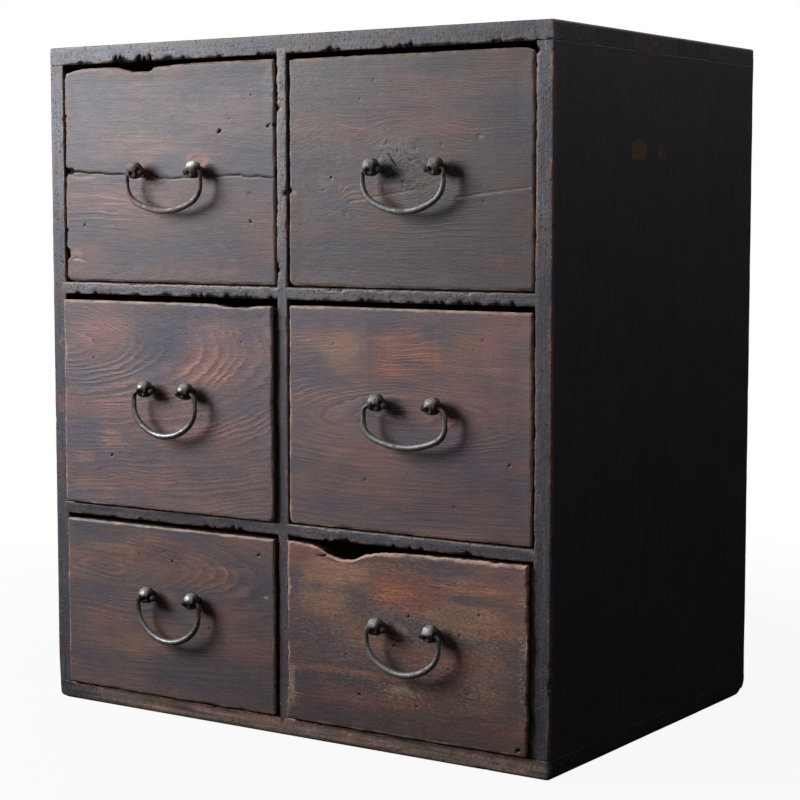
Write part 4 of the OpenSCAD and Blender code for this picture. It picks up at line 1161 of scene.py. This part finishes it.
def drawer_front(name, sizes, seed):
    """A front as one closed skin: a fine grid for its face, whose border turns back in a quarter circle and is
    carried back along the rim, in over the rabbets and on to a flat back. Behind its worn places the rim's top
    sinks a little."""
    low, high = node_box(f"{name}_drawer_front")
    front = FRONTS[name]
    step, arris = sizes.step / MM, sizes.arris / MM
    fine = (0, 0.12, 0.3, 0.55, 0.9, 1.4, 2.1)
    xs, zs = (spaced(low[axis], high[axis], step, fine) for axis in (0, 2))
    grid_x, grid_z = (grid.ravel() for grid in np.meshgrid(xs, zs, indexing="ij"))
    ids = np.arange(len(grid_x)).reshape(len(xs), len(zs))
    edge_x, edge_z = np.minimum(grid_x - low[0], high[0] - grid_x), np.minimum(grid_z - low[2], high[2] - grid_z)
    edge = np.minimum(edge_x, edge_z)
    x, z = front_outline(grid_x, grid_z, low, high, front, seed)
    fields = front_fields(x, z, front, seed)

    radius = arris * (1 + 0.5 * grit(np.stack([x, z], 1), 12, seed + 20, 2))
    turned = radius - np.sqrt(np.maximum(0, radius**2 - np.maximum(0, radius - edge) ** 2))
    stray = 0.5 + 0.5 * grit(np.stack([x / 90, z / 60], 1), 1, seed + 21, 2)
    warp = sizes.warp / MM * stray * smooth(edge, 0, 12)
    hollow = 0.5 * fade(fields["gap"], -0.6, 0.9) + 3 * fade(fields["gap"], -1.5, -0.2) + 0.3 * fields["tan"]
    relief = 0.03 * fields["lines"] * np.abs(np.sin(math.pi * fields["ring"]))
    y = low[1] + turned + warp + hollow + relief * smooth(edge, 0.5, 3)
    face = np.stack([x, y, z], 1)

    border = np.concatenate([ids[:-1, 0], ids[-1, :-1], ids[:0:-1, -1], ids[0, :0:-1]])
    rim = face[border]
    middle_x, half_x = (low[0] + high[0]) / 2, (high[0] - low[0]) / 2
    thick, rabbet = sizes.thickness / MM, sizes.rabbet / MM
    wall, floor = sizes.side / MM, sizes.bottom / MM
    # Each loop round the rim: how far in its sides, its bottom and its top lie, and how far back it is
    insets = (
        (0, 0, 0, 1.3 * arris), (0, 0, 0, 3),
        (0, 0, 0, thick - rabbet - 0.6), (0.3, 0.3, 0, thick - rabbet - 0.2),
        (wall, floor, 0, thick - rabbet + 0.2), (wall, floor, 0, thick - 0.6),
        (wall + 0.6, floor + 0.6, 0.6, thick),
    )
    upper = slice(len(xs) + len(zs) - 2, 2 * len(xs) + len(zs) - 2)
    crest = rim[upper][::-1]
    near_top = smooth(rim[:, 2], high[2] - 16, high[2] - 5)
    share = (rim[:, 2] - low[2]) / (high[2] - low[2])
    loops = []
    for number, (side, under, over, depth) in enumerate(insets):
        loop = rim.copy()
        loop[:, 0] = middle_x + (rim[:, 0] - middle_x) * (1 - side / half_x)
        loop[upper, 2] = np.interp(loop[upper, 0], crest[:, 0], crest[:, 2])
        sink = np.minimum(0.7 * edge_run(loop[:, 0], front["top"], seed, 0), 2.6) * near_top
        loop[:, 2] += under * (1 - share) - over * share - sink * min(1, max(0, depth - 1) / 4)
        loop[:, 1] = np.maximum(low[1] + depth, rim[:, 1] + 0.03 * (number + 1))
        loops.append(loop)
    count = len(border)
    rings = closed(np.concatenate([[border], len(face) + np.arange(count * len(loops)).reshape(-1, count)]))
    faces = [quads(ids), quads(rings), rings[-1:, :-1][:, ::-1]]

    def carried(values, behind):
        """Values of the face's points, and then of each loop's."""
        return np.concatenate([np.broadcast_to(values, len(face)), *behind])

    fields = {key: carried(values, [values[border]] * len(loops)) for key, values in fields.items()}
    # The rim behind the face carries painted shade: about half near the arris, full farther back
    fields["deep"] = carried(0.0, [np.full(count, 1.0 if depth > 2 else 0.55) for *_, depth in insets])
    bare_edge = np.minimum(edge, 30) / front.get("edge_wear", 1)
    fields["edge"] = carried(bare_edge, [np.full(count, min(depth * 1.5, 9)) for *_, depth in insets])
    return np.concatenate([face, *loops]), faces, fields


def arc(centre_x, centre_z, radius, start, end):
    """60 points along an arc."""
    turn = np.linspace(start, end, 60)
    return np.stack([centre_x + radius * np.cos(turn), centre_z + radius * np.sin(turn)], 1)


def bail_path(spread, span, drop, start):
    """A bail's middle line in its own plane: straight through the eyes, a shoulder arc, a straight leg, a lower
    corner arc and one wide arc below, mirrored, then evened out to equal steps, closer together over the
    knobs."""
    half, leg, sag, knob = span / 2, 5, 4, 2.1
    shoulder_x = spread / 2 + start
    shoulder = half - shoulder_x
    depth = drop - shoulder - leg
    corner = depth - sag
    corner_x = half - corner
    wide = (corner_x**2 + depth**2 - corner**2) / (2 * sag)
    turn = math.atan2(depth - wide, corner_x)
    inner_x = spread / 2 - start - knob - knob
    right = np.concatenate([
        np.stack([np.linspace(inner_x, shoulder_x, 40), np.zeros(40)], 1),
        arc(shoulder_x, -shoulder, shoulder, math.pi / 2, 0)[1:],
        arc(corner_x, -shoulder - leg, corner, 0, turn),
        arc(0, wide - drop, wide, turn, -math.pi / 2)[1:],
    ])
    whole = np.concatenate([right, (right * [-1, 1])[-2::-1]])
    run = np.concatenate([[0], np.cumsum(np.linalg.norm(np.diff(whole, axis=0), axis=1))])
    total = run[-1]
    fine = np.array([0.02, 0.12, 0.3, 0.6, 1, 1.5, 2.1, 2.7, 3.2, 3.7, 4.2, 4.7])
    even = np.concatenate([fine, np.linspace(5.4, total - 5.4, 150), total - fine[::-1]])
    line = np.stack([np.interp(even, run, whole[:, 0]), np.interp(even, run, whole[:, 1])], 1)
    return line, even, total


def handle_bail(name, eye, sizes, seed):
    """A bail: its round section thickens towards the middle and swells into a knob at each end; the hammer has
    left it slightly uneven."""
    spread, span, drop = HANDLES[name]
    line, run, total = bail_path(spread, span, drop, sizes.shoulder / MM)
    end = np.minimum(run, total - run)
    wire, belly, knob = sizes.wire / MM, sizes.belly / MM, sizes.knob / MM
    radius = wire + (belly - wire) * smooth(end, 6, 0.4 * total)
    radius *= 1 + 0.045 * grit(run, 7, seed, 2)
    ball = np.sqrt(np.maximum(0.0, knob**2 - (end - knob) ** 2))
    radius = np.where(end < knob, ball, np.maximum(radius, ball))
    bent = 0.25 * grit(run, 22, seed + 2, 2) * smooth(end, 6, 18)
    path = np.stack([line[:, 0], bent, line[:, 1]], 1) + eye
    points, faces = tube(path, radius, sizes.sides)
    up = np.concatenate([np.repeat(end, sizes.sides), [0, 0]])
    # The middle of the wire is brightened by finger wear, and the ends in the eyes are darkened as painted shade
    return points, faces, {"shine": 0.4 * smooth(up, 12, 30), "pit": 0.55 * fade(up, 3.4, 5)}


def hollow_at(eye, side, sizes):
    """Where a head's hollow lies, painted dark as shade: low on its front and a little towards the other head."""
    ball, rise = sizes.head / MM, sizes.rise / MM
    return eye + [-side * 1.1, -0.84 * ball, rise - 0.56 * ball]


def head(eye, side, sizes, seed):
    """A ball head with flattened flanks: a profile turned about X. It starts at the bottom of the dished mouth
    round the eye, climbs to the flank and goes over the crown. Near the eye the turn's centre is the eye, and
    farther out it moves up and back to the head's middle. Noise dents it like a hammer, and a hollow sinks in
    its lower front by the smooth fade of the distance."""
    ball, flank, rise = sizes.head / MM, sizes.flank / MM, sizes.rise / MM
    lip, dish, set_back, sunk = 2.9, 1.6, 0.9, 1.9
    over = np.linspace(0, math.pi, 46)
    share = np.abs(np.cos(over)) ** 0.8 * np.sign(np.cos(over))
    mouth_r = np.array([0.01, 0.8, 1.5, 2.1, 2.6])
    mouth_x = flank - dish * (1 - (mouth_r / lip) ** 2)
    along = np.concatenate([-mouth_x, -flank * share, mouth_x[::-1]])[:, None]
    radius = np.concatenate([mouth_r, lip + (ball - lip) * np.sin(over) ** 0.75, mouth_r[::-1]])[:, None]
    turn = circle(56)
    back = set_back * smooth(radius, 2.6, ball) + radius * np.sin(turn)
    up = rise * smooth(radius, 1.6, ball) + radius * np.cos(turn)
    points, faces = capped(np.stack([np.broadcast_to(along, back.shape), back, up], -1))
    middle = np.array([0, set_back, rise])
    away = np.linalg.norm(points - hollow_at(np.zeros(3), side, sizes), axis=1)
    dents = 0.42 * np.abs(grit(points, 3.6, seed, 2)) + sunk * fade(away, 0.6, 3.1)
    return middle + (points - middle) * (1 - dents / ball)[:, None] + eye, faces


def shank(eye, sizes, seed, length):
    """The shank behind a head: a round section along Y, widest at the head, whose radius strays a little."""
    along = np.linspace(2.6, length, 22)
    radius = (2.3 + 0.5 * fade(along, 3, 6) + 0.06 * grit(along, 4, seed, 2))[:, None]
    turn = circle(24)
    up = sizes.rise / MM + radius * np.sin(turn)
    points, faces = capped(np.stack([radius * np.cos(turn), np.broadcast_to(along[:, None], up.shape), up], -1))
    return points + eye, faces


def legs(eye, sizes, seed, length):
    """The two legs bent flat behind the front: a thin bar whose width tapers to points and whose ends sink towards
    the wood."""
    reach, fine = 13.0, (0, 0.2, 0.5)
    low, high = np.array([-reach, length, -2.4]), np.array([reach, length + 1.6, 2.4])
    points, faces = box_skin(
        spaced(low[0], high[0], 0.9), spaced(low[1], high[1], 0.5, fine), spaced(low[2], high[2], 0.8, fine)
    )
    moved = ease_edges(points, low, high, np.full(len(points), 0.45))
    far = np.abs(moved[:, 0]) / reach
    width = 1 - 0.86 * smooth(far, 0.55, 1.0) - 0.1 * far
    moved[:, 2] = moved[:, 2] * width + 0.25 * grit(moved[:, 0], 8, seed, 2)
    moved[:, 1] = length + (moved[:, 1] - length) * (1 - 0.45 * smooth(far, 0.4, 1))
    return moved + eye + [0, 0, sizes.rise / MM], [faces]


def handle_posts(name, eye, sizes, seed, thickness):
    """The two posts of a handle: head, shank and legs at each eye."""
    # From an eye to the back of the front
    length = 8 + thickness
    parts, hollows = [], []
    for number, side in enumerate((-1, 1)):
        at = eye + [side * HANDLES[name][0] / 2, 0, 0]
        parts += [head(at, side, sizes, seed + 3 * number), shank(at, sizes, seed + 5, length + 0.4)]
        parts.append(legs(at, sizes, seed + 7, length))
        hollows.append(hollow_at(at, side, sizes))
    points, faces = joined(parts)
    # Painted shade in each head's hollow
    pit = np.max([fade(np.linalg.norm(points - at, axis=1), 1.7, 3.0) for at in hollows], axis=0)
    # Painted highlight on the heads' crowns, where the light falls; on the top left handle the right head's is
    # strong enough to paint it near white
    painted_crown_highlight = smooth(points[:, 2] - eye[2], 1.5, 6) * fade(points[:, 1] - eye[1], -1, 4)
    crown_highlight_strength = 0.85 + (1.5 * smooth(points[:, 0] - eye[0], -5, 5) if name == "top_left" else 0)
    return points, faces, {"shine": crown_highlight_strength * painted_crown_highlight, "pit": pit}


class TANSU_OT_case_boards(bpy.types.Operator):
    """Makes the worn boards of the case, its upright and its shelves"""

    bl_idname = "tansu.case_boards"
    bl_label = "Case Boards"

    def execute(self, context):
        sizes, colours = context.scene.tansu_boards, context.scene.tansu_colours
        lacquer, bloom, black = colours.lacquer, colours.bloom, colours.side_black
        level = lacquered_wood(colours, "wiped_lacquer_level", 0, lacquer, bloom, 0.9)
        upright = lacquered_wood(colours, "wiped_lacquer_upright", 2, lacquer, bloom, 1.0)
        side = lacquered_wood(
            colours, "side_lacquer", 2, black, bloom, 1.0, specular=0.42, roughness=0.42, handled=0.11
        )
        top = lacquered_wood(
            colours, "top_lacquer", 0, black, bloom, 0.8, specular=0.5, roughness=0.42, handled=0.55
        )
        base = lacquered_wood(
            colours, "rubbed_base", 0, black, colours.base_brown, 0.9, cloudiness=1.5, specular=0.4, streaky=0.9
        )
        finishes = {
            "top_board": (top, "case_wood"), "bottom_board": (base, "base_wood"),
            "left_side_board": (side, "case_wood"), "right_side_board": (side, "case_wood"),
            "centre_upright": (upright, "case_wood"),
        }
        for seed, name in enumerate(CHEWED):
            finish, slot = finishes.get(name, (level, "shelf_wood"))
            blocks, along = board_blocks(name)
            made = [
                case_board(name, low, high, along, sizes, 100 * seed + number)
                for number, (low, high) in enumerate(blocks)
            ]
            points, faces = joined([skin for *skin, _ in made])
            fields = {key: np.concatenate([each[key] for *_, each in made]) for key in made[0][2]}
            add_piece(f"worn_{name}", points, faces, finish, "case", name, fields)
        return {"FINISHED"}


class TANSU_OT_drawer_fronts(bpy.types.Operator):
    """Makes the six grained drawer fronts"""

    bl_idname = "tansu.drawer_fronts"
    bl_label = "Drawer Fronts"

    def execute(self, context):
        sizes, colours = context.scene.tansu_fronts, context.scene.tansu_colours
        for seed, name in enumerate(DRAWERS):
            finish = front_wood(colours, f"{name}_front_wood", FRONTS[name]["tone"], FRONTS[name]["hue"])
            points, faces, fields = drawer_front(name, sizes, 1000 + 50 * seed)
            body, node = f"{name}_drawer", f"{name}_drawer_front"
            add_piece(f"{name}_grained_front", points, faces, finish, body, node, fields)
        return {"FINISHED"}


class TANSU_OT_handles(bpy.types.Operator):
    """Makes the forged posts and bails"""

    bl_idname = "tansu.handles"
    bl_label = "Handles"

    def execute(self, context):
        sizes, colours = context.scene.tansu_handles, context.scene.tansu_colours
        thickness = context.scene.tansu_fronts.thickness / MM
        joints = {joint["name"]: joint for joint in frame["joints"]}
        for seed, name in enumerate(DRAWERS):
            iron = forged_iron(colours, f"{name}_iron", *IRON[name])
            eye = np.array(joints[f"{name}_bail_swing"]["pos_m"]) / MM
            bail = handle_bail(name, eye, sizes, 2000 + 20 * seed)
            posts = handle_posts(name, eye, sizes, 3000 + 20 * seed, thickness)
            for kind, body, (points, faces, fields) in (("bail", "bail", bail), ("posts", "drawer", posts)):
                piece, node = f"{name}_forged_{kind}", f"{name}_handle_{kind}"
                add_piece(piece, points, faces, iron, f"{name}_{body}", node, fields)
        return {"FINISHED"}


class TANSU_OT_inner_boards(bpy.types.Operator):
    """Gives the back boards, the drawers' inner boards, the pegs and the nails their finishes"""

    bl_idname = "tansu.inner_boards"
    bl_label = "Inner Boards"

    def execute(self, context):
        colours = context.scene.tansu_colours
        cedar, paulownia = colours.cedar, colours.paulownia
        # By node, or by the last word of its name: the finish, its grain's axis, its two colours and ring width
        woods = {
            "back_upper_board": ("aged_cedar_upper", 0, cedar, scaled(cedar, 0.5), 8),
            "back_lower_board": ("aged_cedar_lower", 0, scaled(cedar, 0.72), scaled(cedar, 0.34), 5),
            "side": ("paulownia_lengthwise", 1, paulownia, scaled(paulownia, 0.45), 7),
            "back": ("paulownia_across", 0, paulownia, scaled(paulownia, 0.45), 7),
            "bottom": ("paulownia_bottom", 1, scaled(paulownia, 0.92), scaled(paulownia, 0.45), 9),
            "pegs": ("peg_wood", 0, scaled(paulownia, 1.15), scaled(paulownia, 0.45), 3),
        }
        finishes = {kind: bare_wood(*wood) for kind, wood in woods.items()}
        finishes["nails"] = forged_iron(colours, "nail_iron", 1.0, 0.5, 2.0)
        for name, node in frame["nodes"].items():
            if not node.hide_render:
                node.data.materials.clear()
                node.data.materials.append(finishes[name if name in finishes else name.rsplit("_", 1)[1]])
        return {"FINISHED"}


class TANSU_OT_stage(bpy.types.Operator):
    """Sets up the floor, the pale surroundings, the lamps and the camera"""

    bl_idname = "tansu.stage"
    bl_label = "Stage"

    def execute(self, context):
        scene, stage = context.scene, context.scene.tansu_stage
        scene.view_settings.view_transform = "Standard"
        self.floor()
        self.surroundings(scene, stage.room)
        pale, paler = (0.93, 0.965, 1.0), (0.95, 0.97, 1.0)
        self.lamp("window", (-0.86, -0.80, 0.70), (-0.08, -0.138, 0.33), (0.54, 0.62), stage.window, pale)
        self.lamp("overhead", (0.3, 0.4, 1.7), (0, 0, 0.4), (1.2, 1.2), stage.overhead, paler)
        self.screens()
        camera = bpy.data.objects.new("camera", bpy.data.cameras.new("camera"))
        camera.data.sensor_width, camera.data.lens = 36, stage.lens
        camera.data.clip_start, camera.data.clip_end = 0.05, 50
        camera.location = stage.camera_at
        camera.rotation_euler = (math.pi / 2 - stage.pitch, 0, stage.yaw)
        scene.collection.objects.link(camera)
        scene.camera = camera
        return {"FINISHED"}

    def lamp(self, name, place, aim, size, power, colour):
        """A soft rectangular lamp turned towards its aim."""
        light = bpy.data.lights.new(name, "AREA")
        light.shape, light.energy, light.color = "RECTANGLE", power, colour
        light.size, light.size_y = size
        lamp = bpy.data.objects.new(name, light)
        lamp.location = place
        lamp.rotation_euler = Vector(np.subtract(place, aim)).to_track_quat("Z", "Y").to_euler()
        bpy.context.scene.collection.objects.link(lamp)

    def sheet(self, name, corners, material):
        """A flat four-cornered sheet of the stage."""
        mesh = bpy.data.meshes.new(name)
        mesh.from_pydata(corners, [], [(0, 1, 2, 3)])
        mesh.materials.append(material)
        sheet = bpy.data.objects.new(name, mesh)
        bpy.context.scene.collection.objects.link(sheet)
        return sheet

    def floor(self):
        """A pale floor that shows white, darker where the chest shades it, and plain white farther out."""
        finish = Finish("pale_floor", Specular_IOR_Level=0.1, Roughness=0.9, Base_Color=(0.5, 0.5, 0.5))
        at = finish.add("TexCoord", output="Object")
        away = finish.add("VectorMath", {"operation": "LENGTH"}, {0: at}, output="Value")
        white = away.fit(0.25, 0.9, (0.93, 1.0))
        lit = Value(finish, finish.shader.outputs[0])
        finish.mixed(finish.looked_at() * white, lit, finish.add("Emission"))
        reach = 14
        corners = [(-reach, -reach, 0), (reach, -reach, 0), (reach, reach, 0), (-reach, reach, 0)]
        self.sheet("floor", corners, finish.material)

    def surroundings(self, scene, room):
        """White where it is looked at, and a dim cool room for the light that reaches the chest."""
        scene.world = bpy.data.worlds.new("room")
        scene.world.use_nodes = True
        nodes = Nodes(scene.world.node_tree, "World")
        dim = nodes.add("Background", None, {0: (0.8, 0.9, 1), 1: room})
        white = nodes.add("Background", None, {0: (1, 1, 1), 1: 1})
        nodes.mixed(nodes.looked_at(), dim, white)

    def screens(self):
        """Dark screens and a dark cloth on the floor, unseen by the camera: they hold the daylight back, so that
        the chest mirrors a dim room with one window."""
        finish = Finish("dark_cloth", Specular_IOR_Level=0.0, Roughness=1.0, Base_Color=(0.006, 0.006, 0.006))
        sheets = {
            "cloth": [(-2.6, -2.8, 0.0004), (1.6, -2.8, 0.0004), (1.6, 2.4, 0.0004), (-2.6, 2.4, 0.0004)],
            "right_screen": [(1.5, -0.7, 0), (1.1, 2.4, 0), (1.1, 2.4, 0.9), (1.5, -0.7, 0.9)],
            "back_screen": [(1.1, 2.4, 0), (-1.6, 2.7, 0), (-1.6, 2.7, 1.05), (1.1, 2.4, 1.05)],
            "window_wall": [(-2.6, -0.3, 0), (-0.2, -2.8, 0), (-0.2, -2.8, 2.6), (-2.6, -0.3, 2.6)],
        }
        for name, corners in sheets.items():
            sheet = self.sheet(name, corners, finish.material)
            sheet.visible_camera = sheet.visible_shadow = False


class TANSU_PT_panel(bpy.types.Panel):
    """Lists what the chest is made of"""

    bl_idname = "TANSU_PT_panel"
    bl_label = "Worn Tansu Chest"
    bl_space_type = "VIEW_3D"
    bl_region_type = "UI"
    bl_category = "Tansu"

    def draw(self, context):
        for operator in OPERATORS:
            self.layout.operator(operator.bl_idname)
        for group, kind in SETTINGS.items():
            box = self.layout.box()
            for field in kind.__annotations__:
                box.prop(getattr(context.scene, group), field)


OPERATORS = (
    TANSU_OT_case_boards, TANSU_OT_drawer_fronts, TANSU_OT_handles, TANSU_OT_inner_boards, TANSU_OT_stage
)
CLASSES = (*SETTINGS.values(), *OPERATORS, TANSU_PT_panel)


def register():
    for kind in CLASSES:
        bpy.utils.register_class(kind)
    for group, kind in SETTINGS.items():
        setattr(bpy.types.Scene, group, PointerProperty(type=kind))


def unregister():
    for group in SETTINGS:
        delattr(bpy.types.Scene, group)
    for kind in reversed(CLASSES):
        bpy.utils.unregister_class(kind)


def main():
    register()
    bpy.ops.tansu.case_boards()
    bpy.ops.tansu.drawer_fronts()
    bpy.ops.tansu.handles()
    bpy.ops.tansu.inner_boards()
    bpy.ops.tansu.stage()


if __name__ == "__main__":
    main()
